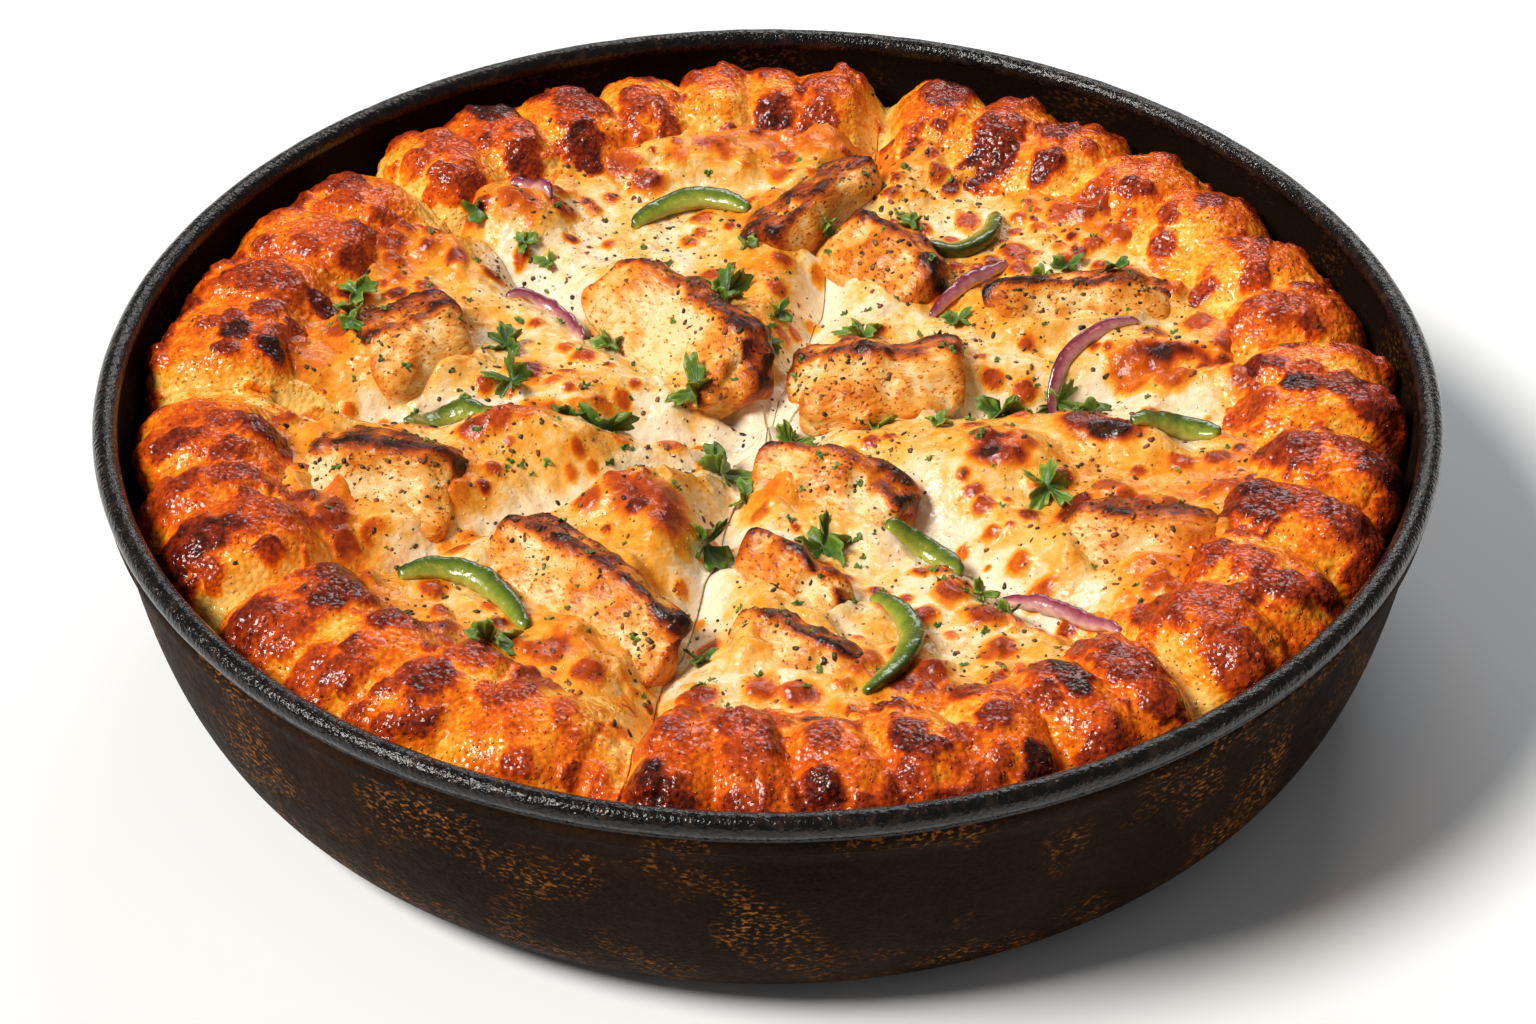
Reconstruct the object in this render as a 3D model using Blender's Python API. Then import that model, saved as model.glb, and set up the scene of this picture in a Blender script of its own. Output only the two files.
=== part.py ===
"""A deep dish pizza in its round pan, cut into seven slices that keep the whole's shape.

The pan is one turned solid. Each slice is a dough body that fills the pan's depth, with a layer
of cheese on it. Chicken pieces, pepper strips, onion slivers and parsley leaves lie on the cheese.
Metres, +Z up; the origin is the middle of the pan's underside.
"""

import math

import bmesh
import bpy
import numpy as np
from mathutils import Matrix, Vector
from mathutils.bvhtree import BVHTree

MM = 0.001
CLEARANCE = 0.3 * MM

# The pan
RIM_HEIGHT = 58.0 * MM
BASE_RADIUS = 103.0 * MM
WALL_KNEE_RADIUS = 122.5 * MM
WALL_TOP_RADIUS = 127.4 * MM
WALL_TOP_HEIGHT = 49.5 * MM
WALL_THICKNESS = 2.4 * MM
BAND_RADIUS = 129.0 * MM
BAND_HEIGHT = 3.2 * MM
BEAD_RADIUS = 2.4 * MM
BEAD_CENTRE_RADIUS = 127.6 * MM
PAN_SEGMENTS = 56
WALL_STEPS = 4

# The cuts, as compass angles from +X towards +Y, and how far each slice was lifted by the knife
CUT_DEGREES = (-148.0, -103.0, -49.0, 8.0, 77.0, 135.0, 178.0)
SLICE_LIFT = tuple(height * MM for height in (1.2, 0.6, 0.9, 0.0, 0.3, 0.5, 0.2))
CUT_HALF_WIDTH = 0.6 * MM

# The cheese's top: height by radius, from the middle to where it thins out on the dough's edge
CHEESE_SECTION = ((0.0, 44.6), (30.0, 45.6), (60.0, 46.8), (80.0, 47.6), (90.0, 48.9), (96.0, 51.4))
CHEESE_DEPTH = 8.0 * MM
CHEESE_EDGE_DEPTH = 1.2 * MM
CHEESE_THINS_OVER = 20.0 * MM
SWELL_HEIGHT = 0.6 * MM
SWELL_LENGTH = 26.0 * MM
SWELL_PHASES = (0.7, 1.9)

# The dough's raised edge in section, from the cheese's border over the ridge to the pan's floor
RIM_SECTION = (
    (96.0, 51.4),
    (101.0, 52.7),
    (107.5, 53.0),
    (114.0, 51.5),
    (118.6, 47.2),
    (120.4, 41.0),
    (120.6, 32.0),
    (118.0, 20.0),
    (111.6, 8.4),
    (101.0, 3.0),
)
RIDGE_ROW = 2
FOLD_DEGREES = (
    -172, -163, -155, -141, -132, -123, -113, -99, -92, -84, -76, -68, -60, -53, -42, -33, -23, -13,
    -3, 4, 14, 24, 34, 44, 54, 62, 70, 82, 89, 96, 104, 113, 122, 130, 142, 151, 161, 171,
)
FOLD_HEIGHT = 4.2 * MM
FOLD_ROUNDNESS = 0.6
FOLD_OVERLAP = 0.62
FOLD_INNER_END = 15.0 * MM
FOLD_OUTER_END = 26.0 * MM
FOLD_FADE = 12.0 * MM

# How the cheese and the dough round off at a cut
CHEESE_CUT_DROP = 2.6 * MM
DOUGH_CUT_DROP = 4.0 * MM
CUT_ROUNDING = 3.6 * MM
TIP_MARGIN = 1.05

# A lifted slice rises in full only above this height, and not at all below the first one
LIFT_FROM = 5.0 * MM
LIFT_OVER = 30.0 * MM

# Chicken that the cheese has covered: x, y, half length, half width, turn in degrees, rise
COVERED_CHICKEN = (
    (-53, 64, 13, 9, 60, 6.0),
    (-14, 88, 12, 8, 5, 4.0),
    (-46, -2, 15, 10, 20, 7.0),
    (-22, -37, 20, 11, -50, 8.0),
    (44, -18, 14, 10, -10, 6.5),
    (66, -11, 13, 7, -20, 5.0),
    (80, 13, 16, 9, -15, 7.0),
    (-71, 25, 8, 8, 0, 3.0),
)
COVER_STEEPNESS = 1.3

# Chicken that shows: x, y, turn in degrees, length, width, height above the cheese, ridge's place
CHICKEN = (
    (9, 71, 51, 34, 16, 8.5, -0.30),
    (-18, 28, -54, 46, 22, 10.5, 0.35),
    (24, 51, -49, 28, 17, 9.0, 0.35),
    (63, 36, 6, 38, 19, 10.2, 0.10),
    (22, 12, 5, 34, 21, 9.5, 0.30),
    (-71, 20, 31, 22, 22, 8.0, 0.20),
    (-74, -22, -18, 32, 23, 9.5, 0.25),
    (-35, -59, -47, 46, 21, 9.8, 0.40),
    (12, -26, -33, 31, 19, 10.0, 0.35),
    (5, -55, -44, 24, 13, 9.0, 0.30),
    (5, -74, -29, 26, 14, 7.0, 0.25),
    (70, -43, -8, 30, 20, 8.5, 0.20),
)
CHICKEN_SQUARENESS = 3.2
CHICKEN_RIDGE_SLOPE = 0.60
CHICKEN_END_SLOPE = 0.12

# Green pepper strips: start, middle and end, each as x, y
PEPPER_STRIPS = (
    ((-28, 66), (-16, 74), (-4, 68)),
    ((30, 58), (43, 58), (47, 70)),
    ((-70, -5), (-62, 4), (-54, 0)),
    ((-68, -55), (-55, -54), (-44, -69)),
    ((22, -38), (29, -40), (36, -47)),
    ((19, -58), (26, -72), (17, -88)),
    ((70, -11), (79, -7), (87, -10)),
)
STRIP_END_SIZE = 0.35
PEPPER_WIDTH = 3.4 * MM
PEPPER_HEIGHT = 4.2 * MM

# Red onion slivers, in the same way
ONION_SLIVERS = (
    ((-53, 40), (-44, 39), (-37, 27)),
    ((33, 34), (41, 44), (49, 51)),
    ((56, 5), (60, 18), (74, 26)),
    ((43, -52), (54, -58), (64, -69)),
    ((-54, 76), (-49, 74), (-45, 68)),
)
ONION_WIDTH = 2.2 * MM
ONION_HEIGHT = 3.2 * MM

# The larger parsley leaves: x, y, turn in degrees, length
PARSLEY_LEAVES = (
    (-8, 41, 100, 10),
    (-14, 8, 60, 10),
    (-50, 9, 20, 9),
    (-52, 23, 15, 9),
    (-32, -2, -25, 12),
    (-12, -43, -60, 10),
    (-9, -14, 50, 12),
    (10, -41, 80, 11),
    (4, -2, 0, 8),
    (19, 27, 30, 8),
    (46, 4, -15, 10),
    (57, 10, 60, 9),
    (53, -28, -50, 10),
    (-50, -74, -45, 10),
)
LEAF_THICKNESS = 0.5 * MM
LEAF_LOBES = 5
LEAF_POINTS = 15
LEAF_WAVE = 0.5 * MM
LEAF_WAIST = 0.42
LIFT_STEP = 0.15 * MM
MOST_LIFTS = 60

# Mesh density
SLICE_COLUMNS = 12
CHEESE_RINGS = tuple(radius * MM for radius in (10, 20, 30, 40, 50, 60, 69, 77, 84, 90, 96))
DOUGH_RINGS = tuple(radius * MM for radius in (40, 69, 84, 90, 96))
WIDE_ROWS = 2


def clear_scene():
    """Removes whatever the file holds when the script starts."""
    for obj in list(bpy.data.objects):
        bpy.data.objects.remove(obj)


def principled(name, colour, roughness, metallic=0.0):
    """A material with one Principled shader."""
    made = bpy.data.materials.new(name)
    made.use_nodes = True
    shader = made.node_tree.nodes["Principled BSDF"]
    shader.inputs["Base Color"].default_value = (*colour, 1.0)
    shader.inputs["Roughness"].default_value = roughness
    shader.inputs["Metallic"].default_value = metallic
    return made


def linked(name, mesh, material, parent, sharp_degrees=45.0):
    """The mesh as a named object under the pizza's empty, shaded smooth but for its sharp edges."""
    mesh.shade_smooth()
    mesh.set_sharp_from_angle(angle=math.radians(sharp_degrees))
    mesh.materials.append(material)
    obj = bpy.data.objects.new(name, mesh)
    bpy.context.scene.collection.objects.link(obj)
    obj.parent = parent
    return obj


def mesh_of(name, points, faces):
    """A mesh of triangles from points and faces, turned outwards."""
    mesh = bpy.data.meshes.new(name)
    mesh.from_pydata([tuple(point) for point in points], [], faces)
    shape = bmesh.new()
    shape.from_mesh(mesh)
    bmesh.ops.triangulate(shape, faces=shape.faces)
    bmesh.ops.recalc_face_normals(shape, faces=shape.faces)
    shape.to_mesh(mesh)
    shape.free()
    return mesh


def smooth_step(value):
    """0 below 0, 1 above 1, and an S curve between them."""
    value = np.clip(value, 0.0, 1.0)
    return value * value * (3.0 - 2.0 * value)


# The pan

def wall_curve(inset):
    """The pan's wall as radius and height, from its base upwards, moved inwards by inset."""
    points = []
    for step in range(WALL_STEPS + 1):
        t = step / WALL_STEPS
        radius = (1 - t) ** 2 * BASE_RADIUS + 2 * t * (1 - t) * WALL_KNEE_RADIUS + t * t * WALL_TOP_RADIUS
        height = t * t * WALL_TOP_HEIGHT
        along = Vector(
            (
                2 * (1 - t) * (WALL_KNEE_RADIUS - BASE_RADIUS) + 2 * t * (WALL_TOP_RADIUS - WALL_KNEE_RADIUS),
                2 * t * WALL_TOP_HEIGHT,
            )
        ).normalized()
        points.append((radius - along.y * inset, height + along.x * inset))
    return points


def bead_arc(first_degrees, last_degrees, steps):
    """Points round the rolled bead, as radius and height."""
    centre_height = RIM_HEIGHT - BEAD_RADIUS
    turns = [
        math.radians(first_degrees + (last_degrees - first_degrees) * step / steps)
        for step in range(steps + 1)
    ]
    return [
        (BEAD_CENTRE_RADIUS + BEAD_RADIUS * math.cos(turn), centre_height + BEAD_RADIUS * math.sin(turn))
        for turn in turns
    ]


def pan_section():
    """The pan's section, from the middle of its floor over the rim to the middle of its underside."""
    inner = wall_curve(WALL_THICKNESS)
    outer = wall_curve(0.0)
    band = [(BAND_RADIUS, WALL_TOP_HEIGHT + BAND_HEIGHT), (BAND_RADIUS, WALL_TOP_HEIGHT)]
    return [(0.0, WALL_THICKNESS), *inner, *bead_arc(180, -30, 6), *band, *reversed(outer), (0.0, 0.0)]


def build_pan(parent):
    """The pan, turned about the Z axis."""
    mesh = bpy.data.meshes.new("pan")
    section = pan_section()
    edges = [(i, i + 1) for i in range(len(section) - 1)]
    mesh.from_pydata([(radius, 0.0, height) for radius, height in section], edges, [])
    metal = principled("seasoned_steel", (0.030, 0.021, 0.016), 0.42, 0.6)
    pan = linked("pan", mesh, metal, parent)
    turn = pan.modifiers.new("turn", "SCREW")
    turn.angle = math.tau
    turn.steps = turn.render_steps = PAN_SEGMENTS
    turn.use_merge_vertices = True
    turn.merge_threshold = 0.01 * MM
    return pan


# The pizza's relief

def fold_widths():
    """Each fold's centre and half width, in radians, from the gaps to its neighbours."""
    centres = np.radians(sorted(FOLD_DEGREES))
    gaps = np.diff(np.append(centres, centres[0] + math.tau))
    return centres, FOLD_OVERLAP * 0.5 * (gaps + np.roll(gaps, 1))


def away_from(angle, other):
    """The turn from other to angle, between -pi and pi."""
    return (angle - other + math.pi) % math.tau - math.pi


def folds(angle, from_ridge):
    """How far the dough's folds stand out, at a distance from the ridge along the section."""
    inner = smooth_step((from_ridge + FOLD_INNER_END) / FOLD_FADE)
    outer = smooth_step((FOLD_OUTER_END - from_ridge) / FOLD_FADE)
    highest = 0.0
    for centre, width in zip(*fold_widths()):
        across = np.clip(away_from(angle, centre) / width, -1.0, 1.0)
        highest = np.maximum(highest, (1.0 - across**2) ** FOLD_ROUNDNESS)
    return FOLD_HEIGHT * highest * inner * outer


def cut_rounding(angle, radius, drop):
    """How far the surface falls near the cuts."""
    fall = 0.0
    for cut in np.radians(CUT_DEGREES):
        turn = away_from(angle, cut)
        near = np.where(np.abs(turn) < math.pi / 2, radius * np.abs(np.sin(turn)), 1.0)
        fall = np.maximum(fall, np.exp(-((near / CUT_ROUNDING) ** 2)))
    return drop * fall


def covered_chicken(x, y):
    """The rise of the cheese over the chicken that it covers."""
    rise = 0.0
    for at_x, at_y, half_length, half_width, degrees, height in COVERED_CHICKEN:
        turn = math.radians(degrees)
        dx, dy = x - at_x * MM, y - at_y * MM
        along = (dx * math.cos(turn) + dy * math.sin(turn)) / (half_length * MM)
        across = (dy * math.cos(turn) - dx * math.sin(turn)) / (half_width * MM)
        rise = np.maximum(rise, height * MM * np.exp(-((along**2 + across**2) ** COVER_STEEPNESS)))
    return rise


def lift_at(angle):
    """How far the slice at an angle was lifted."""
    cuts = np.radians(CUT_DEGREES)
    order = np.searchsorted(cuts, (angle - cuts[0]) % math.tau + cuts[0], side="right") - 1
    return np.array(SLICE_LIFT)[order]


def swell(x, y):
    """The cheese's slow waves."""
    turns = (place / SWELL_LENGTH * math.tau + phase for place, phase in zip((x, y), SWELL_PHASES))
    return SWELL_HEIGHT * math.prod(np.sin(turn) for turn in turns)


def cheese_level(x, y):
    """The height of the cheese's top."""
    radius, angle = np.hypot(x, y), np.arctan2(y, x)
    radii, heights = np.array(CHEESE_SECTION).T * MM
    level = np.interp(radius, radii, heights) + swell(x, y) + covered_chicken(x, y) + lift_at(angle)
    return level - cut_rounding(angle, radius, CHEESE_CUT_DROP)


def dough_level(radius, lift):
    """The height of the dough under the cheese."""
    radii, heights = np.array(CHEESE_SECTION).T * MM
    deep = smooth_step((radii[-1] - radius) / CHEESE_THINS_OVER)
    depth = CHEESE_EDGE_DEPTH + (CHEESE_DEPTH - CHEESE_EDGE_DEPTH) * deep
    return np.interp(radius, radii, heights) - depth + lift - CHEESE_CUT_DROP * (1.0 - deep)


# The slices

def ring_angles(first, last, radius, columns):
    """Angles across a slice at a radius, so that its sides stay half a cut's width off the cut."""
    inset = math.asin(CUT_HALF_WIDTH / radius)
    return np.linspace(first + inset, last - inset, columns + 1)


def tip_radius(first, last):
    """Where the two sides of a slice meet."""
    return TIP_MARGIN * CUT_HALF_WIDTH / math.sin(min((last - first) / 2, math.pi / 2))


def at(angle, radius, height):
    """A point from its angle, radius and height."""
    return (radius * math.cos(angle), radius * math.sin(angle), height)


def strip_faces(near, far):
    """Faces between two rows of points: of one length, or one with twice the other's columns."""
    if len(near) == len(far):
        return [(near[i], near[i + 1], far[i + 1], far[i]) for i in range(len(near) - 1)]
    few, many = (near, far) if len(near) < len(far) else (far, near)
    faces = []
    for i in range(len(few) - 1):
        left, middle, right = many[2 * i], many[2 * i + 1], many[2 * i + 2]
        faces += [(few[i], left, middle), (few[i], middle, few[i + 1]), (few[i + 1], middle, right)]
    return faces


def add_row(points, row):
    """Appends a row of points and returns their numbers."""
    points.extend(row)
    return list(range(len(points) - len(row), len(points)))


def closed_by_rows(name, rows, tip, under_tip):
    """A closed slice: rows of points from its tip outwards and back below, with flat sides."""
    points = [tip, under_tip]
    numbered = [add_row(points, row) for row in rows]
    faces = [(0, numbered[0][i], numbered[0][i + 1]) for i in range(len(numbered[0]) - 1)]
    for near, far in zip(numbered, numbered[1:]):
        faces += strip_faces(near, far)
    faces += [(1, numbered[-1][i + 1], numbered[-1][i]) for i in range(len(numbered[-1]) - 1)]
    faces.append((0, *(row[0] for row in numbered), 1))
    faces.append((0, *(row[-1] for row in numbered), 1))
    return mesh_of(name, points, faces)


def rim_rows():
    """Each row of the raised edge: radius, height, outward direction and distance from the ridge."""
    section = [Vector(point) * MM for point in RIM_SECTION]
    along = [0.0]
    for near, far in zip(section, section[1:]):
        along.append(along[-1] + (far - near).length)
    rows = []
    for number, point in enumerate(section):
        before, after = section[max(number - 1, 0)], section[min(number + 1, len(section) - 1)]
        run = (after - before).normalized()
        rows.append((point.x, point.y, Vector((-run.y, run.x)), along[number] - along[RIDGE_ROW]))
    return rows


def dough_row(first, last, lift, row, columns):
    """One row of points on the raised edge, with its folds."""
    radius, height, outward, from_ridge = row
    angles = ring_angles(first, last, radius, columns)
    stand_out = folds(angles, from_ridge) - cut_rounding(angles, radius, DOUGH_CUT_DROP) * (outward.y > 0)
    lifted = lift * smooth_step((height - LIFT_FROM) / LIFT_OVER)
    return [
        at(angle, radius + outward.x * out, height + lifted + outward.y * out)
        for angle, out in zip(angles, stand_out)
    ]


def build_dough(name, first, last, lift, material, parent):
    """One slice's dough, from the pan's floor to the raised edge."""
    rows = []
    for radius in DOUGH_RINGS:
        height = float(dough_level(radius, lift))
        rows.append([at(angle, radius, height) for angle in ring_angles(first, last, radius, SLICE_COLUMNS)])
    edge = rim_rows()
    for number, row in enumerate(edge[1:], 1):
        wide = number > len(edge) - 1 - WIDE_ROWS - 1
        rows.append(dough_row(first, last, lift, row, SLICE_COLUMNS if wide else 2 * SLICE_COLUMNS))
    middle, tip = (first + last) / 2, tip_radius(first, last)
    top = at(middle, tip, float(dough_level(tip, lift)))
    return linked(name, closed_by_rows(name, rows, top, at(middle, tip, edge[-1][1])), material, parent)


def build_cheese(name, first, last, lift, material, parent):
    """One slice's cheese, down to just above its dough."""
    rows = []
    for radius in CHEESE_RINGS:
        angles = ring_angles(first, last, radius, SLICE_COLUMNS)
        levels = cheese_level(radius * np.cos(angles), radius * np.sin(angles))
        rows.append([at(angle, radius, float(level)) for angle, level in zip(angles, levels)])
    for radius in reversed(DOUGH_RINGS):
        under = float(dough_level(radius, lift)) + CLEARANCE
        rows.append([at(angle, radius, under) for angle in ring_angles(first, last, radius, SLICE_COLUMNS)])
    middle, tip = (first + last) / 2, tip_radius(first, last)
    top = at(middle, tip, float(cheese_level(tip * math.cos(middle), tip * math.sin(middle))))
    under_tip = at(middle, tip, float(dough_level(tip, lift)) + CLEARANCE)
    return linked(name, closed_by_rows(name, rows, top, under_tip), material, parent)


# What lies on the cheese

def tree_of(mesh):
    """A search tree of the mesh's faces."""
    points = [vertex.co for vertex in mesh.vertices]
    return BVHTree.FromPolygons(points, [tuple(face.vertices) for face in mesh.polygons], epsilon=0.0)


def rested(name, points, faces, material, parent, below, sharp_degrees=45.0):
    """The piece, raised in small steps until it is clear of everything below it."""
    mesh = mesh_of(name, points, faces)
    for _ in range(MOST_LIFTS):
        tree = tree_of(mesh)
        if not any(tree.overlap(other) for other in below):
            break
        mesh.transform(Matrix.Translation((0.0, 0.0, LIFT_STEP)))
    mesh.transform(Matrix.Translation((0.0, 0.0, LIFT_STEP)))
    below.append(tree_of(mesh))
    return linked(name, mesh, material, parent, sharp_degrees)


def level_under(x, y):
    """The height that a piece at x, y lies on."""
    return float(cheese_level(np.float64(x), np.float64(y))) + CLEARANCE


def chicken_shape(length, width, height, ridge):
    """A chunk about its own middle: a rounded block with a ridge along it, as points and faces."""
    shape = bmesh.new()
    bmesh.ops.create_cube(shape, size=2.0)
    bmesh.ops.subdivide_edges(shape, edges=shape.edges, cuts=2, use_grid_fill=True)
    power = CHICKEN_SQUARENESS
    points = []
    for vertex in shape.verts:
        flat = vertex.co.x, vertex.co.y, max(vertex.co.z, -1.0)
        size = sum(abs(value) ** power for value in flat) ** (1 / power)
        along, across, up = (value / size for value in flat)
        roof = 1.0 - CHICKEN_RIDGE_SLOPE * abs(across - ridge) - CHICKEN_END_SLOPE * along**2
        share = (up + 1.0) / 2.0
        points.append((along * length / 2, across * width / 2, share * roof * height, share))
    shape.verts.index_update()
    faces = [tuple(vertex.index for vertex in face.verts) for face in shape.faces]
    shape.free()
    return points, faces


def build_chicken(name, piece, material, parent, below):
    """One chunk of chicken, its underside shaped to the cheese."""
    x, y, degrees, length, width, height, ridge = piece
    turn = math.radians(degrees)
    local, faces = chicken_shape(length * MM, width * MM, height * MM, ridge)
    middle_level = level_under(x * MM, y * MM)
    points = []
    for along, across, up, share in local:
        at_x = x * MM + along * math.cos(turn) - across * math.sin(turn)
        at_y = y * MM + along * math.sin(turn) + across * math.cos(turn)
        seat = level_under(at_x, at_y)
        points.append((at_x, at_y, seat * (1 - share) + middle_level * share + up))
    return rested(name, points, faces, material, parent, below)


def arc_through(start, middle, end, steps):
    """Points on the smooth curve through three places, with the direction at each."""
    start, middle, end = (Vector(place) * MM for place in (start, middle, end))
    control = 2 * middle - (start + end) / 2
    places = []
    for step in range(steps + 1):
        t = step / steps
        place = (1 - t) ** 2 * start + 2 * t * (1 - t) * control + t * t * end
        run = (2 * (1 - t) * (control - start) + 2 * t * (end - control)).normalized()
        places.append((place, run, t))
    return places


def build_strip(name, route, width, height, material, parent, below, steps=7, sides=5):
    """A curved strip of vegetable that follows the cheese and tapers at its ends."""
    points, faces = [], []
    rings = []
    for place, run, t in arc_through(*route, steps):
        size = STRIP_END_SIZE + (1.0 - STRIP_END_SIZE) * math.sqrt(math.sin(math.pi * t))
        beside = Vector((-run.y, run.x))
        ring = []
        for side in range(sides):
            turn = math.tau * (side + 0.5) / sides - math.pi / 2
            off = place + beside * (math.cos(turn) * width / 2 * size)
            lift = (1 + math.sin(turn)) * height / 2 * size
            ring.append((off.x, off.y, level_under(off.x, off.y) + lift))
        rings.append(add_row(points, ring))
    for near, far in zip(rings, rings[1:]):
        faces += strip_faces([*near, near[0]], [*far, far[0]])
    faces += [tuple(rings[0]), tuple(reversed(rings[-1]))]
    return rested(name, points, faces, material, parent, below)


def leaf_outline(length):
    """A parsley leaf's lobed edge about its middle, as distances at even turns."""
    places = []
    for number in range(LEAF_POINTS):
        turn = math.tau * number / LEAF_POINTS
        lobe = 0.5 + 0.5 * math.cos(LEAF_LOBES * turn)
        reach = length / 2 * (LEAF_WAIST + (1.0 - LEAF_WAIST) * lobe)
        places.append((turn, reach))
    return places


def build_leaf(name, leaf, material, parent, below):
    """A parsley leaf: a thin wavy solid with both faces split alike."""
    x, y, degrees, length = leaf
    x, y, length = x * MM, y * MM, length * MM
    edge = []
    for number, (turn, reach) in enumerate(leaf_outline(length)):
        heading = turn + math.radians(degrees)
        at_x, at_y = x + reach * math.cos(heading), y + reach * math.sin(heading)
        edge.append((at_x, at_y, level_under(at_x, at_y) + LEAF_WAVE * (1 + math.sin(2 * turn + number))))
    middle = (x, y, level_under(x, y) + LEAF_WAVE)
    under = [middle, *edge]
    points = under + [(px, py, pz + LEAF_THICKNESS) for px, py, pz in under]
    count = len(under)
    faces = []
    for number in range(LEAF_POINTS):
        here, after = 1 + number, 1 + (number + 1) % LEAF_POINTS
        faces += [(0, after, here), (count, count + here, count + after)]
        faces.append((here, after, count + after, count + here))
    return rested(name, points, faces, material, parent, below)


def main():
    """Builds the pan, the slices and the toppings."""
    clear_scene()
    pizza = bpy.data.objects.new("pizza", None)
    bpy.context.scene.collection.objects.link(pizza)
    build_pan(pizza)

    crust = principled("baked_dough", (0.640, 0.250, 0.050), 0.45)
    cheese = principled("melted_cheese", (0.820, 0.620, 0.310), 0.32)
    below = []
    cuts = [math.radians(degrees) for degrees in CUT_DEGREES]
    for number, (first, last) in enumerate(zip(cuts, [*cuts[1:], cuts[0] + math.tau]), 1):
        lift = SLICE_LIFT[number - 1]
        below.append(tree_of(build_dough(f"crust_{number}", first, last, lift, crust, pizza).data))
        below.append(tree_of(build_cheese(f"cheese_{number}", first, last, lift, cheese, pizza).data))

    chicken = principled("roast_chicken", (0.700, 0.400, 0.170), 0.40)
    for number, piece in enumerate(CHICKEN, 1):
        build_chicken(f"chicken_{number:02d}", piece, chicken, pizza, below)
    pepper = principled("green_pepper", (0.130, 0.220, 0.020), 0.25)
    for number, route in enumerate(PEPPER_STRIPS, 1):
        build_strip(f"pepper_{number}", route, PEPPER_WIDTH, PEPPER_HEIGHT, pepper, pizza, below)
    onion = principled("red_onion", (0.300, 0.060, 0.090), 0.28)
    for number, route in enumerate(ONION_SLIVERS, 1):
        build_strip(f"onion_{number}", route, ONION_WIDTH, ONION_HEIGHT, onion, pizza, below, 6, 4)
    parsley = principled("parsley", (0.035, 0.110, 0.012), 0.50)
    for number, leaf in enumerate(PARSLEY_LEAVES, 1):
        build_leaf(f"parsley_{number:02d}", leaf, parsley, pizza, below)


main()
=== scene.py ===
"""Dresses the deep dish pizza: the folded crust, cheese, chicken, vegetables, herbs and pan.

Lengths are in millimetres and angles in degrees unless a name says otherwise; a mesh is scaled
to metres when it is made. The photograph looks along +Y, so the viewer stands on the -Y side.
"""

from __future__ import annotations

import itertools
import logging
import math
from collections.abc import Iterable, Sequence
from dataclasses import dataclass, field
from enum import Enum

import bmesh
import bpy
import numpy as np
from mathutils import Matrix, Vector
from mathutils.bvhtree import BVHTree


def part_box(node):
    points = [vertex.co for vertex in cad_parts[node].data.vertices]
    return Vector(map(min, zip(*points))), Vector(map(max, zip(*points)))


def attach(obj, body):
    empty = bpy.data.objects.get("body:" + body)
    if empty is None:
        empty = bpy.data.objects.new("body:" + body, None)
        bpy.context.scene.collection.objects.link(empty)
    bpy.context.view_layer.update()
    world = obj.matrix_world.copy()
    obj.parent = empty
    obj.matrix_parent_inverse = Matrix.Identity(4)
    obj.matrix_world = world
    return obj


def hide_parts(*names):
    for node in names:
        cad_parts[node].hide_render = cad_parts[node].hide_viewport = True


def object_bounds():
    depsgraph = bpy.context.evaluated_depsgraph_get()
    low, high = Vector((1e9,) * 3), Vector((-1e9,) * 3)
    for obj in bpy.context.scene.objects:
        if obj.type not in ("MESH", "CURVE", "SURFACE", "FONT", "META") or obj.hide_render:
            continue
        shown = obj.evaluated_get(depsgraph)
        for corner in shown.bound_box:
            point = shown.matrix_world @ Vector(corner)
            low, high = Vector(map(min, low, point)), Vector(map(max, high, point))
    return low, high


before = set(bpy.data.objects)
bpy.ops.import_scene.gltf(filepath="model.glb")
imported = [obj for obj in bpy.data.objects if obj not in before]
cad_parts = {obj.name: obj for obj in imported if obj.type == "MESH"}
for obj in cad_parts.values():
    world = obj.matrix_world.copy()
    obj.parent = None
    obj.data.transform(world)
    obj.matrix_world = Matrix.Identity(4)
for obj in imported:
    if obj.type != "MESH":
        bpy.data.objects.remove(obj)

LOG = logging.getLogger("pizza")
MM = 0.001
BODY = "root"
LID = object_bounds()[1][2] / MM + 0.7  # the highest that a dressed piece may reach
Stops = Sequence[tuple[float, tuple[float, float, float]]]


class Slot(Enum):
    """The record's material slots."""

    PAN = "seasoned_steel"
    DOUGH = "baked_dough"
    CHEESE = "melted_cheese"
    CHICKEN = "roast_chicken"
    PEPPER = "green_pepper"
    ONION = "red_onion"
    PARSLEY = "parsley_leaf"


def smooth_step(value: np.ndarray | float) -> np.ndarray:
    """0 below 0, 1 above 1, and an S curve between them."""
    value = np.clip(value, 0.0, 1.0)
    return value * value * (3.0 - 2.0 * value)


def turn_between(angle: np.ndarray, other: np.ndarray | float) -> np.ndarray:
    """The turn from other to angle in radians, between -pi and pi."""
    return (angle - other + math.pi) % math.tau - math.pi


def turned(x: np.ndarray, y: np.ndarray, degrees: float) -> tuple[np.ndarray, np.ndarray]:
    """Places as seen along and across a direction.

    Args:
        x, y: the places.
        degrees: the direction, anticlockwise from +X.

    Returns:
        How far each lies along it, and how far to the left of it.
    """
    cosine, sine = math.cos(math.radians(degrees)), math.sin(math.radians(degrees))
    return x * cosine + y * sine, y * cosine - x * sine


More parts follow.
